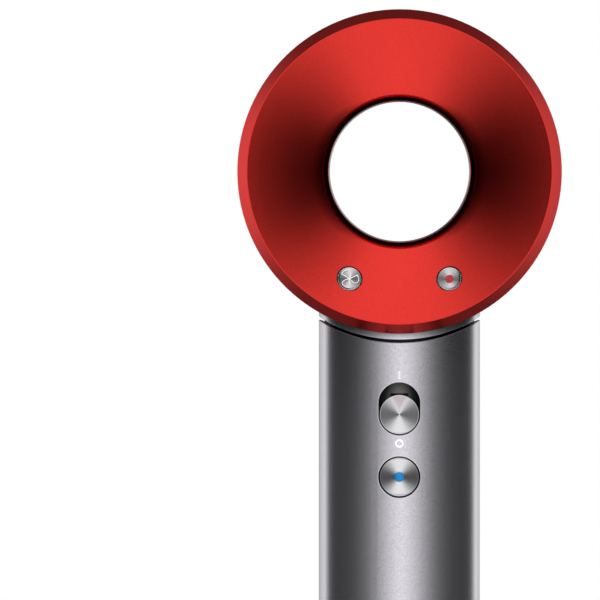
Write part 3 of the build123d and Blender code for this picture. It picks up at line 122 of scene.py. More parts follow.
world = bpy.data.worlds.new("studio")
bpy.context.scene.world = world
world.use_nodes = True
sky = world.node_tree
sky.nodes.clear()
turned_sky = add(sky, "Mapping", {
    "Vector": add(sky, "TexCoord").outputs["Generated"], "Rotation": (0.0, 0.0, radians(-BOX_TURN)),
})
toward = add(sky, "SeparateXYZ", {0: turned_sky.outputs[0]})
aside = add(sky, "Math", {0: toward.outputs["X"]}, operation="ABSOLUTE")
upright = add(sky, "Math", {0: toward.outputs["Z"]}, operation="ABSOLUTE")
ahead = add(sky, "Math", {0: toward.outputs["Y"], 1: -1.0}, operation="MULTIPLY")
swing = add(sky, "Math", {0: ahead.outputs[0]}, operation="ARCCOSINE")
half_turns = add(sky, "Math", {0: swing.outputs[0], 1: pi}, operation="DIVIDE")
lean = add(sky, "Math", {0: aside.outputs[0], 1: upright.outputs[0]}, operation="ARCTAN2")
quarter_turns = add(sky, "Math", {0: lean.outputs[0], 1: pi / 2}, operation="DIVIDE")


def by_angle(angle, stops, full):
    """A grey ramp over an angle, given as a share of a full number of degrees."""
    ramp = add(sky, "ValToRGB", {0: angle.outputs[0]})
    ramp_stops(ramp, [(degrees / full, level) for degrees, level in stops])
    return ramp.outputs[0]


over_share = add(sky, "Mix", {
    0: by_angle(half_turns, REAR_FROM, 180),
    2: by_angle(quarter_turns, FRONT_SHARE, 90),
    3: by_angle(quarter_turns, REAR_SHARE, 90),
}, data_type="FLOAT")
studio_light = add(sky, "Mix", {
    0: over_share.outputs[0],
    2: by_angle(half_turns, SIDE_LIGHT, 180),
    3: by_angle(half_turns, OVER_LIGHT, 180),
}, data_type="FLOAT")
boxes = add(sky, "Background", {"Color": studio_light.outputs[0], "Strength": LIGHT_LEVEL})
backdrop = add(sky, "Background", {"Color": (1.0, 1.0, 1.0, 1.0), "Strength": 1.0})
seen = add(sky, "LightPath")
either = add(
    sky, "MixShader", {0: seen.outputs["Is Camera Ray"], 1: boxes.outputs[0], 2: backdrop.outputs[0]}
)
add(sky, "OutputWorld", {"Surface": either.outputs[0]})

# Lamp: a broad one, high up in front, for the matt pieces and for a soft shadow on the floor. The
# polished pieces don't mirror it.
LAMP_SIZE = 0.9
LAMP_POWER = 4.0
LAMP_PLACE = Vector((0.10, -0.90, 0.95))

lamp = bpy.data.objects.new("overhead_lamp", bpy.data.lights.new("overhead_lamp", "AREA"))
lamp.data.size = LAMP_SIZE
lamp.data.energy = LAMP_POWER
lamp.location = LAMP_PLACE
lamp.rotation_euler = (-LAMP_PLACE).to_track_quat("-Z", "Y").to_euler()
lamp.visible_camera = False
lamp.visible_glossy = False
bpy.context.scene.collection.objects.link(lamp)

# Floor: the surface that the put-away lead lies on. Pale matt laminate; polished pieces look past it
# to the soft boxes, so that only its own shadow and colour show.
MM = 0.001
FLOOR_RADIUS = 1.2
FLOOR_GAP = 0.2
GRAIN_STOPS = (0.3, 0.7)


def linear(code):
    """Linear colour of an sRGB hex value."""
    channels = [int(code[i:i + 2], 16) / 255 for i in (1, 3, 5)]
    return [c / 12.92 if c <= 0.04045 else ((c + 0.055) / 1.055) ** 2.4 for c in channels] + [1.0]


def coded_stops(positions, codes):
    """Stops of a colour ramp, from positions and sRGB hex values."""
    return [(position, linear(code)) for position, code in zip(positions, codes)]


def opened(material):
    """Node tree and principled shader of a material."""
    return material.node_tree, material.node_tree.nodes["Principled BSDF"]


def finish(name, code, **sockets):
    """Starts a material: its colour and the values that are the same all over."""
    material = bpy.data.materials.new(name)
    material.use_nodes = True
    material.diffuse_color = linear(code)
    shader = opened(material)[1]
    shader.inputs["Base Color"].default_value = linear(code)
    for socket, value in sockets.items():
        shader.inputs[socket.replace("_", " ")].default_value = value
    return material


def grained(name, code, grain, gloss, shades=None, dent=0.0, **sockets):
    """A finish whose gloss varies over a grain in millimetres, and its shade and relief if given."""
    material = finish(name, code, **sockets)
    tree, shader = opened(material)
    noise = add(tree, "TexNoise", {
        "Vector": add(tree, "TexCoord").outputs["Object"], "Scale": 1 / (grain * MM), "Detail": 2.0,
    }).outputs["Fac"]
    varied = add(tree, "MapRange", {0: noise, 3: gloss[0], 4: gloss[1]})
    tree.links.new(varied.outputs[0], shader.inputs["Roughness"])
    if shades:
        shade = add(tree, "ValToRGB", {0: noise})
        ramp_stops(shade, coded_stops(GRAIN_STOPS, shades))
        tree.links.new(shade.outputs[0], shader.inputs["Base Color"])
    if dent:
        relief = add(tree, "Bump", {"Height": noise, "Distance": dent * MM})
        tree.links.new(relief.outputs[0], shader.inputs["Normal"])
    return material


def shown(name, mesh, material):
    """Links a new object with its material."""
    piece = bpy.data.objects.new(name, mesh)
    piece.data.materials.append(material)
    bpy.context.scene.collection.objects.link(piece)
    return piece


laminate = grained("pale_matt_laminate", "#E9E9E7", 1.5, (0.52, 0.68))
laminate_tree, laminate_shader = opened(laminate)
laminate_mix = add(laminate_tree, "MixShader", {
    0: add(laminate_tree, "LightPath").outputs["Is Glossy Ray"],
    1: laminate_shader.outputs[0],
    2: add(laminate_tree, "BsdfTransparent").outputs[0],
})
laminate_tree.links.new(laminate_mix.outputs[0], laminate_tree.nodes["Material Output"].inputs["Surface"])
floor_mesh = bpy.data.meshes.new("floor")
floor_shape = bmesh.new()
bmesh.ops.create_circle(floor_shape, cap_ends=True, segments=96, radius=FLOOR_RADIUS)
floor_height = cad_box[0][2] - FLOOR_GAP * MM
bmesh.ops.translate(floor_shape, verts=floor_shape.verts, vec=(0, 0, floor_height))
floor_shape.to_mesh(floor_mesh)
floor_shape.free()
floor = shown("floor", floor_mesh, laminate)


# Rotor: ground steel shaft, sintered magnet pressed on it, and an impeller milled from aluminium that
# draws the air up the handle.
def dress(material, *names):
    """Gives CAD nodes a material."""
    for name in names:
        slots = frame["nodes"][name].data.materials
        slots.clear()
        slots.append(material)


ground_steel = grained(
    "ground_steel", "#B4B5B8", 0.3, (0.18, 0.30), ("#A9AAAD", "#BFC0C3"), Metallic=1.0
)
sintered = grained(
    "nickel_plated_sintered_magnet", "#8E8F92", 0.5, (0.28, 0.45), ("#7F8083", "#9A9B9E"), 0.004,
    Metallic=1.0,
)
milled = grained(
    "milled_aluminium", "#C4C5C7", 0.4, (0.25, 0.42), ("#B8B9BB", "#CFD0D2"), 0.004, Metallic=1.0
)
dress(ground_steel, "rotor_shaft", "motor_bearings")
dress(sintered, "rotor_magnet", "attachment_magnets")
dress(milled, "impeller", "motor_frame")

# Stator: stacked steel sheets 0.35 mm thick, drawn at 0.5 mm so that they show, and four coils of
# enamelled copper wire wound on its poles.
SHEET_SHOWN = 0.5
WIRE = 0.45
WAVE_LENGTH = tau / 20  # of a wave texture at scale 1
BAND_STOPS = (0.1, 0.6)


def banded(name, codes, pitch, direction, gloss, dent, **sockets):
    """A finish of even bands, a pitch in millimetres apart, such as sheets or turns of wire."""
    material = finish(name, codes[1], Roughness=gloss, **sockets)
    tree, shader = opened(material)
    bands = add(tree, "TexWave", {
        "Vector": add(tree, "TexCoord").outputs["Object"],
        "Scale": WAVE_LENGTH / (pitch * MM),
        "Distortion": 0.4,
    }, wave_type="BANDS", bands_direction=direction).outputs["Fac"]
    shade = add(tree, "ValToRGB", {0: bands})
    ramp_stops(shade, coded_stops(BAND_STOPS, codes))
    tree.links.new(shade.outputs[0], shader.inputs["Base Color"])
    relief = add(tree, "Bump", {"Height": bands, "Distance": dent * MM})
    tree.links.new(relief.outputs[0], shader.inputs["Normal"])
    return material


laminations = banded(
    "steel_laminations", ("#3C3D40", "#77797D"), SHEET_SHOWN, "Z", 0.38, 0.05, Metallic=1.0
)
copper_wire = banded(
    "enamelled_copper_wire", ("#5C2A14", "#C0713F"), WIRE, "DIAGONAL", 0.28, 0.10, Metallic=0.9
)
dress(laminations, "stator_core")
dress(copper_wire, "stator_coils")

# Motor mount and seals: soft black silicone rubber that keeps the motor's hum out of the handle and
# closes the joints between the shells. Dull, with a fine bloom.
silicone = grained("black_silicone_rubber", "#18181A", 0.8, (0.55, 0.75), ("#141416", "#222225"), 0.01)
dress(silicone, "motor_mount", "neck_seal", "rear_seal", "duct_seal")

# Chassis, switches and thermal cut-out: black glass-filled nylon, with the fine spark-eroded texture
# of its mould.
nylon = grained("black_glass_filled_nylon", "#1B1B1A", 0.4, (0.40, 0.60), ("#171716", "#222221"), 0.006)
dress(nylon, "handle_chassis", "power_switch", "cool_switch", "head_switches", "thermal_cutout")

# Boards: glass-epoxy sheet under a green solder mask. The copper tracks show through it as paler lines
# that run square to the edges.
TRACK_PITCH = 2.4
TRACK_STOPS = (0.0, 0.10, 0.34, 0.40)
TRACK_CODES = ("#B9B48A", "#175534", "#175534", "#2F8A57")

mask = finish("green_solder_mask", "#1E6B42", Roughness=0.32, IOR=1.5)
mask_tree, mask_shader = opened(mask)
tracks = add(mask_tree, "TexVoronoi", {
    "Vector": add(mask_tree, "TexCoord").outputs["Object"],
    "Scale": 1 / (TRACK_PITCH * MM),
    "Randomness": 0.6,
}, distance="CHEBYCHEV")
track_shade = add(mask_tree, "ValToRGB", {0: tracks.outputs["Distance"]})
ramp_stops(track_shade, coded_stops(TRACK_STOPS, TRACK_CODES))
mask_tree.links.new(track_shade.outputs[0], mask_shader.inputs["Base Color"])
dress(mask, "head_board", "switch_board", "motor_board")

# Screws and needle: small zinc-plated steel fastenings that hold the boards and the chassis, and the
# pointed steel needle of the ioniser.
zinc = grained("zinc_plated_steel", "#A7ABB0", 0.6, (0.26, 0.40), ("#9A9EA4", "#B6BABF"), Metallic=1.0)
dress(zinc, "board_screws", "chassis_screws", "ioniser_needle")

# Heater: ribs and sleeve of phlogopite mica sheet, amber and flaky, that hold a crimped ribbon of
# resistance alloy, browned by heat.
RIBBON_CRIMP = 1.6

mica = grained(
    "phlogopite_mica_sheet", "#A98F63", 2.5, (0.25, 0.50), ("#8F774F", "#C2A878"), 0.02, Sheen_Weight=0.2
)
ribbon = banded(
    "heat_browned_resistance_ribbon", ("#5B4A3E", "#A69B8F"), RIBBON_CRIMP, "DIAGONAL", 0.35, 0.15,
    Metallic=1.0,
)
dress(mica, "heater_frame", "heater_sleeve")
dress(ribbon, "heater_winding")

# Ioniser and thermistor: electronics potted in dark epoxy, a module inside the barrel and a bead that
# measures the air.
epoxy = grained("potting_epoxy", "#202024", 1.2, (0.20, 0.34), ("#1A1A1E", "#29292E"), 0.01, IOR=1.55)
dress(epoxy, "ioniser_module", "thermistor")

# Foot: nylon ring pressed into the end of the handle, end cap that closes it, and the clamp whose two
# screws hold the cable.
dress(nylon, "base_ring", "end_cap", "cord_clamp")
dress(zinc, "clamp_screws")

# Filter mesh: tube of woven stainless wire behind the cage. The real wires are 0.1 mm apart, and are
# drawn 0.5 mm apart here so that the weave shows between the holes of the cage.
WEAVE_PITCH = 0.5
WEAVE_DEPTH = 0.2
WEAVE_STOPS = (0.35, 0.60, 1.0)
WEAVE_CODES = ("#151516", "#6E6F73", "#A9AAAE")
MESH_R = 17.0

woven = finish("woven_stainless_wire", "#8F9094", Metallic=1.0, Roughness=0.35)
woven_tree, woven_shader = opened(woven)
spot_on_mesh = add(woven_tree, "SeparateXYZ", {0: add(woven_tree, "TexCoord").outputs["Object"]})
turn_on_mesh = add(woven_tree, "Math", {
    0: spot_on_mesh.outputs["Y"], 1: spot_on_mesh.outputs["X"],
}, operation="ARCTAN2")
crowns = []
for way, pitches in (
    (turn_on_mesh.outputs[0], MESH_R / WEAVE_PITCH),
    (spot_on_mesh.outputs["Z"], 1 / (WEAVE_PITCH * MM)),
):
    wires = add(woven_tree, "Math", {0: way, 1: pitches}, operation="MULTIPLY")
    crowns.append(add(woven_tree, "Math", {0: wires.outputs[0], 1: 1.0}, operation="PINGPONG").outputs[0])
weave = add(woven_tree, "Math", {0: crowns[0], 1: crowns[1]}, operation="MAXIMUM").outputs[0]
weave_shade = add(woven_tree, "ValToRGB", {0: weave})
ramp_stops(weave_shade, coded_stops(WEAVE_STOPS, WEAVE_CODES))
woven_tree.links.new(weave_shade.outputs[0], woven_shader.inputs["Base Color"])
weave_relief = add(woven_tree, "Bump", {"Height": weave, "Distance": WEAVE_DEPTH * MM})
woven_tree.links.new(weave_relief.outputs[0], woven_shader.inputs["Normal"])
dress(woven, "filter_mesh")

# Strain relief: ridged cone of black thermoplastic rubber, moulded on the cable so that it bends in an
# even curve. Each ridge has a rounded crown.
RELIEF_TOP = -96.0
RELIEF_LENGTH = 40.0
RELIEF_R = 12.25
RELIEF_TIP_R = 6.25
RIDGES = 16
RIDGE_DEPTH = 0.9
RIDGE_CROWN = 0.75
RELIEF_SPIGOT_R = 10.0
CABLE_R = 3.85
WELD = 0.001
SHARP_ANGLE = 35.0


def smooth_mesh(name, shape, weld=WELD):
    """Mesh of a finished shape: corners closer than a weld joined, and smooth but for sharp edges."""
    bmesh.ops.remove_doubles(shape, verts=shape.verts, dist=weld * MM)
    bmesh.ops.recalc_face_normals(shape, faces=shape.faces)
    for face in shape.faces:
        face.smooth = True
    mesh = bpy.data.meshes.new(name)
    shape.to_mesh(mesh)
    shape.free()
    mesh.set_sharp_from_angle(angle=radians(SHARP_ANGLE))
    return mesh


def turned(name, outline, material, segments=128):
    """Turns an outline of (radius, height) points in millimetres about the local Z axis."""
    shape = bmesh.new()
    rings = []
    for radius, height in outline:
        turns = range(segments if radius else 1)
        spots = [(cos(tau * t / segments), sin(tau * t / segments)) for t in turns]
        rings.append([shape.verts.new((radius * c * MM, radius * s * MM, height * MM)) for c, s in spots])
    for ring, after in zip(rings, rings[1:]):
        for t in range(segments):
            corners = [ring[t % len(ring)], ring[(t + 1) % len(ring)]]
            corners += [after[(t + 1) % len(after)], after[t % len(after)]]
            shape.faces.new(list(dict.fromkeys(corners)))
    return shown(name, smooth_mesh(name, shape), material)


rubber = grained("black_thermoplastic_rubber", "#2C2C2E", 0.7, (0.26, 0.40), ("#262628", "#343436"), 0.006)
ridge_pitch = RELIEF_LENGTH / RIDGES
ridge_land = ridge_pitch - RIDGE_DEPTH
crown_turns = [radians(a) for a in (0, 30, 60, 90)]
relief_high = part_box("strain_relief")[1][2] / MM
relief_outline = [(CABLE_R, relief_high), (RELIEF_SPIGOT_R, relief_high), (RELIEF_SPIGOT_R, RELIEF_TOP)]
for ridge in range(RIDGES):
    crown_r = RELIEF_R + (RELIEF_TIP_R - RELIEF_R) * ridge / (RIDGES - 1)
    top = RELIEF_TOP - ridge * ridge_pitch
    low = top - ridge_land
    relief_outline += [
        (crown_r - RIDGE_CROWN * (1 - sin(a)), top - RIDGE_CROWN * (1 - cos(a))) for a in crown_turns
    ]
    relief_outline += [
        (crown_r - RIDGE_CROWN * (1 - cos(a)), low + RIDGE_CROWN * (1 - sin(a))) for a in crown_turns
    ]
    relief_outline += [(crown_r - RIDGE_DEPTH, low), (crown_r - RIDGE_DEPTH, top - ridge_pitch)]
relief_outline += [(CABLE_R, RELIEF_TOP - RELIEF_LENGTH), (CABLE_R, relief_high)]
ridged_relief = turned("ridged_relief", relief_outline, rubber, segments=96)
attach(ridged_relief, "dryer")
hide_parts("strain_relief")

# Cable inside the strain relief: the end of the round lead, in its matt PVC jacket, held by the clamp
# in the foot.
pvc = grained("matt_grey_pvc_jacket", "#3B3B3E", 0.6, (0.40, 0.56), ("#353538", "#434347"), 0.012)
dress(pvc, "inner_cable")

# Handle shell: moulded polycarbonate under a satin grey lacquer with fine aluminium flake, so it
# mirrors broad lights softly, and close up it has a faint glitter.
HANDLE_R = 20.0
FLAKE = 0.30


def grey_flake(name):
    """The satin grey lacquer of handle, barrel and cage."""
    return grained(name, "#A9A7AC", FLAKE, (0.20, 0.28), ("#A19FA4", "#B1AFB5"), 0.001, Metallic=0.92)


grey_lacquer = grey_flake("satin_grey_flake_lacquer")
dress(grey_lacquer, "handle_shell")

# Neck collar: saddle between handle and barrel, under the same lacquer. The spray stops at its lower
# edge, so the spigot in the gap is bare black nylon, which also stands in as painted shade in the gap.
# Below the barrel the colour is darkened as painted shade in the corner.
SPRAYED_R = 19.6
HEAD_R = 39.0
HEAD_Z = 110.0
# Painted shade in the corner below the barrel: its width, and the share of the colour left at its darkest.
CORNER_DEPTH = 1.7
CORNER_SHADE_LEVEL = 0.25


def line_gap(tree, spot, across, through=(0.0, 0.0, 0.0)):
    """Distance of a spot from a line through a point. Only the axes across the line count."""
    away = add(tree, "VectorMath", {0: spot, 1: through}, operation="SUBTRACT")
    square = add(tree, "VectorMath", {0: away.outputs[0], 1: across}, operation="MULTIPLY")
    return add(tree, "VectorMath", {0: square.outputs[0]}, operation="LENGTH").outputs["Value"]


def show_through(material, share, code):
    """Shows another colour where the share of a finish falls from 1 to 0."""
    tree, shader = opened(material)
    colour = shader.inputs["Base Color"]
    mixed = add(tree, "Mix", {0: share, 6: linear(code), 7: colour.links[0].from_socket}, data_type="RGBA")
    tree.links.new(mixed.outputs[2], colour)


collar_lacquer = grey_flake("satin_grey_lacquer_on_nylon")
collar_tree = collar_lacquer.node_tree
on_collar = add(collar_tree, "TexCoord").outputs["Object"]
# The spigot inside SPRAYED_R is coloured black: bare nylon, and painted shade in the gap.
sprayed = add(collar_tree, "Math", {
    0: line_gap(collar_tree, on_collar, (1.0, 1.0, 0.0)), 1: SPRAYED_R * MM,
}, operation="GREATER_THAN")
# Painted shade: the colour darkens towards the barrel, to a quarter at its edge.
corner_painted_shade = add(collar_tree, "MapRange", {
    0: line_gap(collar_tree, on_collar, (1.0, 0.0, 1.0), (0.0, 0.0, HEAD_Z * MM)),
    1: HEAD_R * MM, 2: (HEAD_R + CORNER_DEPTH) * MM, 3: CORNER_SHADE_LEVEL, 4: 1.0,
})
lacquer_and_painted_shade = add(collar_tree, "Math", {0: sprayed.outputs[0], 1: corner_painted_shade.outputs[0]}, operation="MULTIPLY")
show_through(collar_lacquer, lacquer_and_painted_shade.outputs[0], "#121212")
dress(collar_lacquer, "neck_collar")

# Control carrier: moulding behind the openings of the handle, in the nylon of the chassis. The slot
# reads as a dark recess, with painted light paler along the slider's path and painted shade near black
# at the slot's edges.
SLOT_Z = 52.1
SLOT_TRAVEL = 2.85
SLOT_R = 5.02
END_STRETCH = 0.5
# Stops and colours of the painted light and shade, by the share of the way from the slider's path to the
# edge.
SLOT_LIGHT_STOPS = (0.10, 0.45, 0.68, 0.85)
SLOT_LIGHT_CODES = ("#9A9A95", "#62625F", "#262625", "#080808")

slot_light_and_shade = grained(
    "nylon_with_painted_slot_light", "#1B1B1A", 0.4, (0.45, 0.60), dent=0.004, Specular_IOR_Level=0.08
)
slot_light_tree, slot_light_shader = opened(slot_light_and_shade)
on_floor = add(slot_light_tree, "SeparateXYZ", {0: add(slot_light_tree, "TexCoord").outputs["Object"]})
from_middle = add(slot_light_tree, "Math", {0: on_floor.outputs["Z"], 1: SLOT_Z * MM}, operation="SUBTRACT")
off_middle = add(slot_light_tree, "Math", {0: from_middle.outputs[0]}, operation="ABSOLUTE")
past_travel = add(slot_light_tree, "Math", {
    0: off_middle.outputs[0], 1: SLOT_TRAVEL / 2 * MM,
}, operation="SUBTRACT")
past_end = add(slot_light_tree, "Math", {0: past_travel.outputs[0], 1: 0.0}, operation="MAXIMUM")
end_share = add(slot_light_tree, "Math", {0: past_end.outputs[0], 1: END_STRETCH}, operation="MULTIPLY")
from_path = add(slot_light_tree, "CombineXYZ", {0: on_floor.outputs["X"], 2: end_share.outputs[0]})
path_gap = add(slot_light_tree, "VectorMath", {0: from_path.outputs[0]}, operation="LENGTH")
path_share = add(slot_light_tree, "Math", {0: path_gap.outputs["Value"], 1: SLOT_R * MM}, operation="DIVIDE")
# Painted light and shade: pale in the middle of the slider's path, near black at the slot's edges.
slot_light_ramp = add(slot_light_tree, "ValToRGB", {0: path_share.outputs[0]})
ramp_stops(slot_light_ramp, coded_stops(SLOT_LIGHT_STOPS, SLOT_LIGHT_CODES))
slot_light_tree.links.new(slot_light_ramp.outputs[0], slot_light_shader.inputs["Base Color"])
dress(slot_light_and_shade, "control_carrier")

# Power slider and cool button: aluminium discs faced on a lathe. The circular tool marks, cut coarser
# here than the real ones so that they show, throw the light up and down, which gives each disc a
# bright fan above and below its centre and dark ones at its sides.
TOOL_MARK = 0.16
TOOL_SLOPE = 28.0
FACE_DEPTH = 0.02
INTO_HANDLE = (0, 1, 0)
DISC_THICKNESS = 3.2
DISC_EDGE = 0.12
SLIDER_R = 4.82
SLIDER_SLOPE = 23.0
SLIDER_STEM_R = 1.95
SLIDER_REACH = 8.25
COOL_R = 4.75
COOL_STEM_R = 2.0
COOL_FLANGE_R = 2.9
COOL_FLANGE_DEPTHS = (7.0, 7.6)


def facing(node, axis):
    """Place of a button: its face's centre, with local Z out of the face along a press axis."""
    axis = Vector(axis).normalized()
    corners = [corner.co for corner in frame["nodes"][node].data.vertices]
    face_at = min(corner.dot(axis) for corner in corners)
    face = [corner for corner in corners if corner.dot(axis) < face_at + FACE_DEPTH * MM]
    centre = [(min(c[k] for c in face) + max(c[k] for c in face)) / 2 for k in range(3)]
    return Matrix.Translation(centre) @ (-axis).to_track_quat("Z", "Y").to_matrix().to_4x4()


def disc_outline(radius, edge, thickness, slope=TOOL_SLOPE):
    """Tool marks across the face, rounded edge and side of a disc, from its centre."""
    marks = round((radius - edge) / TOOL_MARK)
    pitch = (radius - edge) / marks
    depth = pitch / 2 * tan(radians(slope))
    face = []
    for mark in range(marks):
        face += [(mark * pitch, 0.0), ((mark + 0.5) * pitch, -depth)]
    rounded = [radians(a) for a in (0, 18, 36, 54, 72, 90)]
    corner = [(radius - edge + edge * sin(a), edge * cos(a) - edge) for a in rounded]
    return [*face, *corner, (radius, -thickness)]


spun = grained("spun_aluminium", "#A6A6A8", 0.25, (0.12, 0.20), ("#A0A0A2", "#ACACAE"), Metallic=1.0)

slider_disc = turned("slider_disc", [
    *disc_outline(SLIDER_R, DISC_EDGE, DISC_THICKNESS, SLIDER_SLOPE),
    (SLIDER_STEM_R, -DISC_THICKNESS), (SLIDER_STEM_R, -SLIDER_REACH), (0.0, -SLIDER_REACH),
], spun)
slider_disc.matrix_world = facing("power_slider", INTO_HANDLE)
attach(slider_disc, "slider")
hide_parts("power_slider")

cool_disc = turned("cool_disc", [
    *disc_outline(COOL_R, DISC_EDGE, DISC_THICKNESS), (COOL_STEM_R, -DISC_THICKNESS),
    (COOL_STEM_R, -COOL_FLANGE_DEPTHS[0]), (COOL_FLANGE_R, -COOL_FLANGE_DEPTHS[0]),
    (COOL_FLANGE_R, -COOL_FLANGE_DEPTHS[1]), (0.0, -COOL_FLANGE_DEPTHS[1]),
], spun)
cool_disc.matrix_world = facing("cool_button", INTO_HANDLE)
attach(cool_disc, "cool_key")
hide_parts("cool_button")

# Cool lens: a clear blue acrylic dot pressed into the middle of the cool button, a little domed, that
# marks it as the one for cold air.
LENS_R = 1.17
LENS_DOME = 0.35
LENS_LIFT = 0.01
DOT_SEAT = 0.1

acrylic = grained(
    "blue_tinted_acrylic", "#007CBE", 0.8, (0.10, 0.18), ("#0076B8", "#0083C6"),
    IOR=1.49, Specular_IOR_Level=0.2,
)
dome = [(LENS_R * sin(radians(a)), LENS_DOME * cos(radians(a)) + LENS_LIFT) for a in range(0, 90, 15)]
cool_lens = turned("cool_lens", [*dome, (LENS_R, -DOT_SEAT), (0.0, -DOT_SEAT)], acrylic, segments=48)
cool_lens.matrix_world = facing("cool_button", INTO_HANDLE)
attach(cool_lens, "cool_key")
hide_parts("cool_button_lens")

# On and off marks: a bar and a ring in white ink, pad printed on the lacquer above and below the
# slider's slot, a few hundredths of a millimetre thick.
INK = 0.05
ON_Z = 60.35
ON_SIZE = (0.54, 1.90)
ON_CELLS = (2, 4)
OFF_Z = 43.65
OFF_R = 1.03
OFF_STROKE = 0.42
OFF_CELLS = 48

ink = grained("white_pad_print_ink", "#FFFFFF", 0.15, (0.20, 0.32), Specular_IOR_Level=1.0)


def printed(name, cells):
    """Thin ink on the handle, from quads of (across, up) points in millimetres laid round the tube."""
    ink_r = HANDLE_R + INK / 2
    shape = bmesh.new()
    for cell in cells:
        corners = []
        for across, up in cell:
            around = across / HANDLE_R
            corners.append(shape.verts.new((ink_r * sin(around) * MM, -ink_r * cos(around) * MM, up * MM)))
        shape.faces.new(corners)
    bmesh.ops.remove_doubles(shape, verts=shape.verts, dist=WELD * MM)
    bmesh.ops.recalc_face_normals(shape, faces=shape.faces)
    mesh = bpy.data.meshes.new(name)
    shape.to_mesh(mesh)
    shape.free()
    piece = shown(name, mesh, ink)
    film = piece.modifiers.new("film", "SOLIDIFY")
    film.thickness = INK * MM
    film.offset = 0.0
    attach(piece, "dryer")


on_columns = [ON_SIZE[0] * (column / ON_CELLS[0] - 0.5) for column in range(ON_CELLS[0] + 1)]
on_rows = [ON_Z + ON_SIZE[1] * (row / ON_CELLS[1] - 0.5) for row in range(ON_CELLS[1] + 1)]
printed("mark_on", [
    [(left, low), (right, low), (right, high), (left, high)]
    for low, high in zip(on_rows, on_rows[1:]) for left, right in zip(on_columns, on_columns[1:])
])
off_cells = []
for cell in range(OFF_CELLS):
    ends = [tau * cell / OFF_CELLS, tau * (cell + 1) / OFF_CELLS]
    outside = [(OFF_R * cos(a), OFF_Z + OFF_R * sin(a)) for a in ends]
    inner_r = OFF_R - OFF_STROKE
    inside = [(inner_r * cos(a), OFF_Z + inner_r * sin(a)) for a in reversed(ends)]
    off_cells.append(outside + inside)
printed("mark_off", off_cells)

# Barrel: moulded shell that carries the outlet at its far end and the red cover at the near one, in
# the grey lacquer of the handle.
dress(grey_lacquer, "head_shell")

# Outlet bezel: ring turned from aluminium and pressed on the barrel's front, polished at its rounded
# edge.
bright = grained("polished_turned_aluminium", "#D6D5D6", 0.5, (0.14, 0.24), Metallic=1.0)
dress(bright, "outlet_bezel")

# Outlet ring: stepped moulding inside the bezel that attachments sit in, with the slot that the air
# leaves by. It has a paler silver lacquer.
silver_lacquer = grained(
    "satin_silver_lacquer", "#C6C5C8", FLAKE, (0.18, 0.26), ("#BEBDC0", "#CECDD0"), 0.001, Metallic=0.95
)
dress(silver_lacquer, "outlet_ring")

# Rear cover: moulded bell mouth with the throat in its middle, under a satin red lacquer with fine
# aluminium flake below a red tint. It is bright where it faces a light and falls to a deep dark red.
# The tight lip of the throat is shaded, most at its sides, for the dark that a rounder one would mirror.
RED_CODES = ("#A22521", "#AE2B25")
LIP_R = 18.0
LIP_SIDES = (0.35, 0.85)  # sine of the angle from upright, where the shade starts to widen and stops
LIP_WIDTHS = (0.9, 3.2)  # of the shade, upright and at the sides
LIP_SHARES = (0.75, 0.12)  # of the red that are left on the lip, upright and at the sides

red_lacquer = grained(
    "satin_red_flake_lacquer", "#A82823", FLAKE, (0.15, 0.22), RED_CODES, 0.001, Metallic=1.0,
    Specular_Tint=linear("#FFC6C6"),
)
red_tree = red_lacquer.node_tree
on_cover = add(red_tree, "TexCoord").outputs["Object"]
bore_gap = line_gap(red_tree, on_cover, (1.0, 0.0, 1.0), (0.0, 0.0, HEAD_Z * MM))
across_cover = add(red_tree, "SeparateXYZ", {0: on_cover}).outputs["X"]
off_upright = add(red_tree, "Math", {0: across_cover}, operation="ABSOLUTE")
sideways = add(red_tree, "Math", {0: off_upright.outputs[0], 1: bore_gap}, operation="DIVIDE")
at_side = add(red_tree, "MapRange", {
    0: sideways.outputs[0], 1: LIP_SIDES[0], 2: LIP_SIDES[1],
}, interpolation_type="SMOOTHSTEP").outputs[0]
lip_ends = [(LIP_R + width) * MM for width in LIP_WIDTHS]
lip_end = add(red_tree, "MapRange", {0: at_side, 3: lip_ends[0], 4: lip_ends[1]})
lip_low = add(red_tree, "MapRange", {0: at_side, 3: LIP_SHARES[0], 4: LIP_SHARES[1]})
lip_share = add(red_tree, "MapRange", {
    0: bore_gap, 1: LIP_R * MM, 2: lip_end.outputs[0], 3: lip_low.outputs[0], 4: 1.0,
})
show_through(red_lacquer, lip_share.outputs[0], "#1A0606")
dress(red_lacquer, "rear_cover")

# Inner duct: black nylon tube that lines the bore in front of the cover's throat. The cover and the
# duct are sprayed together from the rear, so the red fades out along the duct into bare nylon.
SPRAY_END_Y = 24.0
SPRAY_FADE = 9.0

sprayed_duct = grained(
    "red_lacquer_fading_on_nylon", "#A82823", FLAKE, (0.18, 0.26), RED_CODES, 0.001
)
duct_tree, duct_shader = opened(sprayed_duct)
along_duct = add(duct_tree, "SeparateXYZ", {0: add(duct_tree, "TexCoord").outputs["Object"]})
red_share = add(duct_tree, "MapRange", {
    0: along_duct.outputs["Y"], 1: (SPRAY_END_Y - SPRAY_FADE) * MM, 2: SPRAY_END_Y * MM, 3: 1.0, 4: 0.0,
}).outputs[0]
show_through(sprayed_duct, red_share, "#1B1A1B")
duct_tree.links.new(red_share, duct_shader.inputs["Metallic"])
dress(sprayed_duct, "inner_duct")

# Speed and heat buttons: small spun aluminium caps let into the bell, each with a retaining flange
# and a stem behind the cover. The cover's colour is painted near black at the mouth of each button's
# hole, as painted shade in the gap round the cap.
BUTTON_R = 2.9
BUTTON_EDGE = 0.16
BUTTON_FLANGE_R = 3.7
BUTTON_STEM_R = 1.5
BUTTON_DEPTHS = (3.4, 4.2, 5.6)
# Radii round each cap between which the painted shade at the hole's mouth fades out.
HOLE_SHADE_RS = (3.12, 3.24)

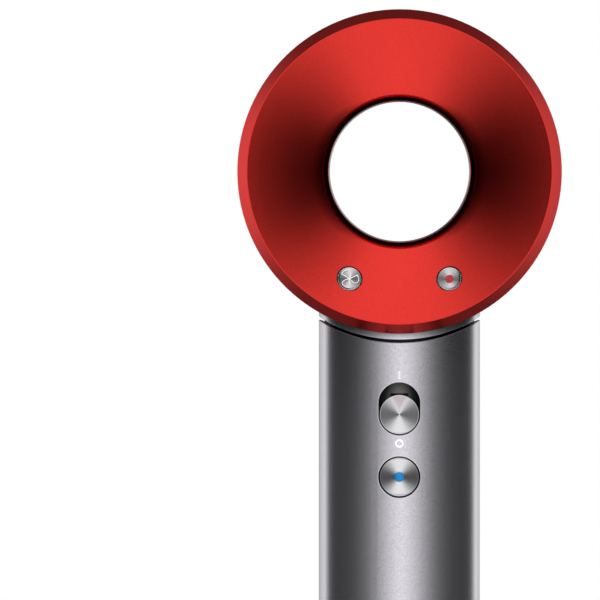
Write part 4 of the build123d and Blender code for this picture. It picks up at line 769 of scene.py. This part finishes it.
press_axes = {joint["name"]: joint["axis"] for joint in frame["joints"]}
for node, body, joint in (
    ("speed_button", "speed_key", "speed_press"),
    ("heat_button", "heat_key", "heat_press"),
):
    flange_at, flange_end, stem_end = BUTTON_DEPTHS
    button = turned(node + "_cap", [
        *disc_outline(BUTTON_R, BUTTON_EDGE, flange_at), (BUTTON_FLANGE_R, -flange_at),
        (BUTTON_FLANGE_R, -flange_end), (BUTTON_STEM_R, -flange_end),
        (BUTTON_STEM_R, -stem_end), (0.0, -stem_end),
    ], spun)
    button.matrix_world = facing(node, press_axes[joint])
    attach(button, body)
    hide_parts(node)

    # Painted shade: near black in a thin ring round each cap, at the mouth of its hole.
    by_button = add(red_tree, "TexCoord")
    by_button.object = button
    hole_painted_shade = add(red_tree, "MapRange", {
        0: line_gap(red_tree, by_button.outputs["Object"], (1.0, 1.0, 0.0)),
        1: HOLE_SHADE_RS[0] * MM, 2: HOLE_SHADE_RS[1] * MM, 3: 0.0, 4: 1.0,
    })
    show_through(red_lacquer, hole_painted_shade.outputs[0], "#0A0808")

# Fan sign on the speed button: the outline of three blades, rolled into the cap as a fine bright bead.
# Each blade is a closed curve through points of radius in millimetres and angle in degrees.
BLADE_LINE = [
    (0.0, 0), (0.0, 0), (1.0, 72), (1.75, 80), (2.28, 96), (2.34, 120), (2.20, 146), (2.20, 146), (1.1, 145),
]
BLADES = 3
BEAD_R = 0.10
BEAD_LIFT = 0.02

bead = grained("burnished_aluminium_bead", "#F2F2F2", 0.1, (0.40, 0.60), Metallic=0.4)
sign_curve = bpy.data.curves.new("fan_sign", "CURVE")
sign_curve.dimensions = "3D"
sign_curve.bevel_depth = BEAD_R * MM
sign_curve.bevel_resolution = 3
for blade in range(BLADES):
    line = sign_curve.splines.new("NURBS")
    line.points.add(len(BLADE_LINE) - 1)
    for point, (radius, angle) in zip(line.points, BLADE_LINE):
        around = radians(angle + blade * 360 / BLADES)
        point.co = (radius * cos(around) * MM, radius * sin(around) * MM, BEAD_LIFT * MM, 1.0)
    line.order_u = 3
    line.use_cyclic_u = True
fan_sign = shown("fan_sign", sign_curve, bead)
fan_sign.matrix_world = facing("speed_button", press_axes["speed_press"])
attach(fan_sign, "speed_key")

# Heat dot: red enamel in a shallow ring at the middle of the heat button. It is a little raised at the
# centre and at the edge, with a groove between them.
HEAT_DOT_R = 1.0
HEAT_DOT_FACE = [(0.0, 0.07), (0.30, 0.06), (0.45, 0.02), (0.62, 0.02), (0.78, 0.06), (0.92, 0.06)]

enamel = grained(
    "red_enamel", "#9E1A20", 0.5, (0.16, 0.26), ("#92161C", "#AC2026"), Specular_IOR_Level=0.25
)
heat_dot = turned("heat_dot", [
    *HEAT_DOT_FACE, (HEAT_DOT_R, 0.0), (HEAT_DOT_R, -DOT_SEAT), (0.0, -DOT_SEAT),
], enamel, segments=48)
heat_dot.matrix_world = facing("heat_button", press_axes["heat_press"])
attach(heat_dot, "heat_key")
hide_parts("heat_button_dot")

# Filter cage: moulded sleeve that slides down off the foot for cleaning, in the grey lacquer of the
# handle. Its wall is pierced by staggered rows of round holes with softened edges.
CAGE_TOP = -51.7
CAGE_BASE = -96.0
CAGE_WALL = 1.2
CAGE_FOOT = 5.0
CAGE_FOOT_R = 14.0
CAGE_HOLE_R = 13.5
CAGE_LIP = 0.25
HOLE_R = 0.85
HOLE_EDGE = 0.08
HOLES_ROUND = 24
HOLE_ROWS = 18
ROW_PITCH = 2.12
FIRST_ROW = -53.4
EDGE_SPOTS = 24
BAND_SPOTS = HOLES_ROUND * 8
CELL_STEPS = 4
FOOT_BREAK = 0.08
CAGE_WELD = 0.002

hole_pitch = tau * HANDLE_R / HOLES_ROUND
half_cell = (hole_pitch / 2, ROW_PITCH / 2)
cell_walk = [(4, 0), (4, 2), (4, 4), (3, 4), (2, 4), (1, 4), (0, 4)]
cell_walk += [(-across, up) for across, up in reversed(cell_walk[:-1])]
cell_walk += [(across, -up) for across, up in reversed(cell_walk[1:-1])]
cell_edge = [
    (half_cell[0] * across / CELL_STEPS, half_cell[1] * up / CELL_STEPS) for across, up in cell_walk
]
hole_turns = [tau * spot / EDGE_SPOTS for spot in range(EDGE_SPOTS)]


def hole_ring(radius):
    """Spots round a hole, in the order of the cell's own edge."""
    return [(radius * cos(turn), radius * sin(turn)) for turn in hole_turns]


halfway = [
    ((edge[0] + near[0]) / 2, (edge[1] + near[1]) / 2) for edge, near in zip(cell_edge, hole_ring(HOLE_R))
]
rounded_r = HOLE_R + HOLE_EDGE
cell_rings = [
    (cell_edge, 0.0), (halfway, 0.0), (hole_ring(rounded_r), 0.0), (hole_ring(HOLE_R), HOLE_EDGE),
    (hole_ring(HOLE_R), CAGE_WALL - HOLE_EDGE), (hole_ring(rounded_r), CAGE_WALL),
    (halfway, CAGE_WALL), (cell_edge, CAGE_WALL),
]
cage_shape = bmesh.new()


def on_cage(around, up, depth):
    """A corner of the cage, from its angle, height and depth below the outer face."""
    radius = HANDLE_R - depth
    return cage_shape.verts.new((radius * sin(around) * MM, -radius * cos(around) * MM, up * MM))


for row in range(HOLE_ROWS):
    for hole in range(HOLES_ROUND):
        centre = (hole + row % 2 / 2) * hole_pitch
        height = FIRST_ROW - row * ROW_PITCH
        rings = [
            [on_cage((centre + across) / HANDLE_R, height + up, depth) for across, up in ring]
            for ring, depth in cell_rings
        ]
        for ring, deeper in zip(rings, rings[1:]):
            for spot in range(EDGE_SPOTS):
                after = (spot + 1) % EDGE_SPOTS
                cage_shape.faces.new([ring[spot], ring[after], deeper[after], deeper[spot]])

rows_top = FIRST_ROW + half_cell[1]
rows_low = FIRST_ROW - (HOLE_ROWS - 1) * ROW_PITCH - half_cell[1]
foot_depth = HANDLE_R - CAGE_FOOT_R
upper_band = [
    (0.0, rows_top), (0.0, CAGE_TOP - CAGE_LIP), (CAGE_LIP / 3, CAGE_TOP - CAGE_LIP / 3),
    (CAGE_LIP, CAGE_TOP), (CAGE_WALL, CAGE_TOP), (CAGE_WALL, rows_top),
]
lower_band = [
    (0.0, rows_low), (0.0, CAGE_BASE + CAGE_FOOT + CAGE_LIP), (FOOT_BREAK, CAGE_BASE + CAGE_FOOT),
    (2 * CAGE_LIP, CAGE_BASE + CAGE_FOOT - CAGE_LIP), (foot_depth - CAGE_LIP, CAGE_BASE + CAGE_LIP),
    (foot_depth, CAGE_BASE), (HANDLE_R - CAGE_HOLE_R, CAGE_BASE),
    (HANDLE_R - CAGE_HOLE_R, CAGE_BASE + CAGE_WALL), (CAGE_WALL, CAGE_BASE + CAGE_FOOT + CAGE_WALL / 2),
    (CAGE_WALL, rows_low),
]
for band in (upper_band, lower_band):
    rings = [
        [on_cage(tau * spot / BAND_SPOTS, up, depth) for spot in range(BAND_SPOTS)] for depth, up in band
    ]
    for ring, deeper in zip(rings, rings[1:]):
        for spot in range(BAND_SPOTS):
            after = (spot + 1) % BAND_SPOTS
            cage_shape.faces.new([ring[spot], ring[after], deeper[after], deeper[spot]])
pierced_cage = shown("pierced_cage", smooth_mesh("pierced_cage", cage_shape, CAGE_WELD), grey_lacquer)
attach(pierced_cage, "cage")
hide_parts("filter_cage")

# Mains lead: round flexible cable of 7.6 mm with a matt PVC jacket, put away in a tied coil of two
# layers on the floor. It hangs from the strain relief, turns under, and ends in the plug.
LEAD_ROUTE = [
    (0.0, 0.0, -136.0),
    (0.0, 0.0, -162.0),
    (6.4, 8.1, -187.5),
    (18.5, 23.3, -206.2),
    (33.3, 41.8, -215.4),
]
TAIL_ROUTE = [
    (-62.0, 73.3, -208.4),
    (-60.6, 49.0, -207.0),
]
CORD_DIAMETER = 7.6
COIL_Y = 97.7
COIL_START = -38.5
COIL_TURNS = 8.607
COIL_OUTER_R = 60.8
COIL_INNER_R = 31.9
COIL_LOW_Z = -215.4
POINTS_PER_TURN = 16

spread = 1 / cos(pi / POINTS_PER_TURN)
flat_turns = (COIL_TURNS - 1) / 2
route = list(LEAD_ROUTE)
for step in range(1, int(COIL_TURNS * POINTS_PER_TURN)):
    turns = step / POINTS_PER_TURN
    inward = min(turns, flat_turns) - max(0, turns - flat_turns - 1)
    climb = min(max(turns - flat_turns, 0), 1)
    radius = spread * (COIL_OUTER_R - (COIL_OUTER_R - COIL_INNER_R) * inward / flat_turns)
    angle = radians(COIL_START) + tau * turns
    route.append((radius * cos(angle), COIL_Y + radius * sin(angle), COIL_LOW_Z + CORD_DIAMETER * climb))
route += TAIL_ROUTE

lead_curve = bpy.data.curves.new("mains_lead", "CURVE")
lead_curve.dimensions = "3D"
lead_curve.bevel_depth = CORD_DIAMETER / 2 * MM
lead_curve.bevel_resolution = 6
lead_curve.resolution_u = 6
lead_curve.use_fill_caps = True
lead_line = lead_curve.splines.new("NURBS")
lead_line.points.add(len(route) - 1)
for point, place in zip(lead_line.points, route):
    point.co = (*[length * MM for length in place], 1.0)
lead_line.order_u = 3
lead_line.use_endpoint_u = True
mains_lead = shown("mains_lead", lead_curve, pvc)
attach(mains_lead, "dryer")
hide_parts("cord_lead", "cord_coil", "cord_tail")

# Plug, its pins and the tie: body moulded on the lead in black PVC, two solid pins of nickel-plated
# brass, and a strap of woven nylon round the coil.
STRAP_THREAD = 0.8

plug_pvc = grained("moulded_black_pvc", "#1E1E20", 0.5, (0.36, 0.54), ("#19191B", "#26262A"), 0.010)
nickel = grained(
    "nickel_plated_brass", "#C9C4B8", 0.5, (0.16, 0.28), ("#BDB8AC", "#D4D0C6"), Metallic=1.0
)
strap = banded("woven_nylon_strap", ("#101012", "#333337"), STRAP_THREAD, "DIAGONAL", 0.75, 0.15)
dress(plug_pvc, "plug_body")
dress(nickel, "plug_pins")
dress(strap, "coil_tie")
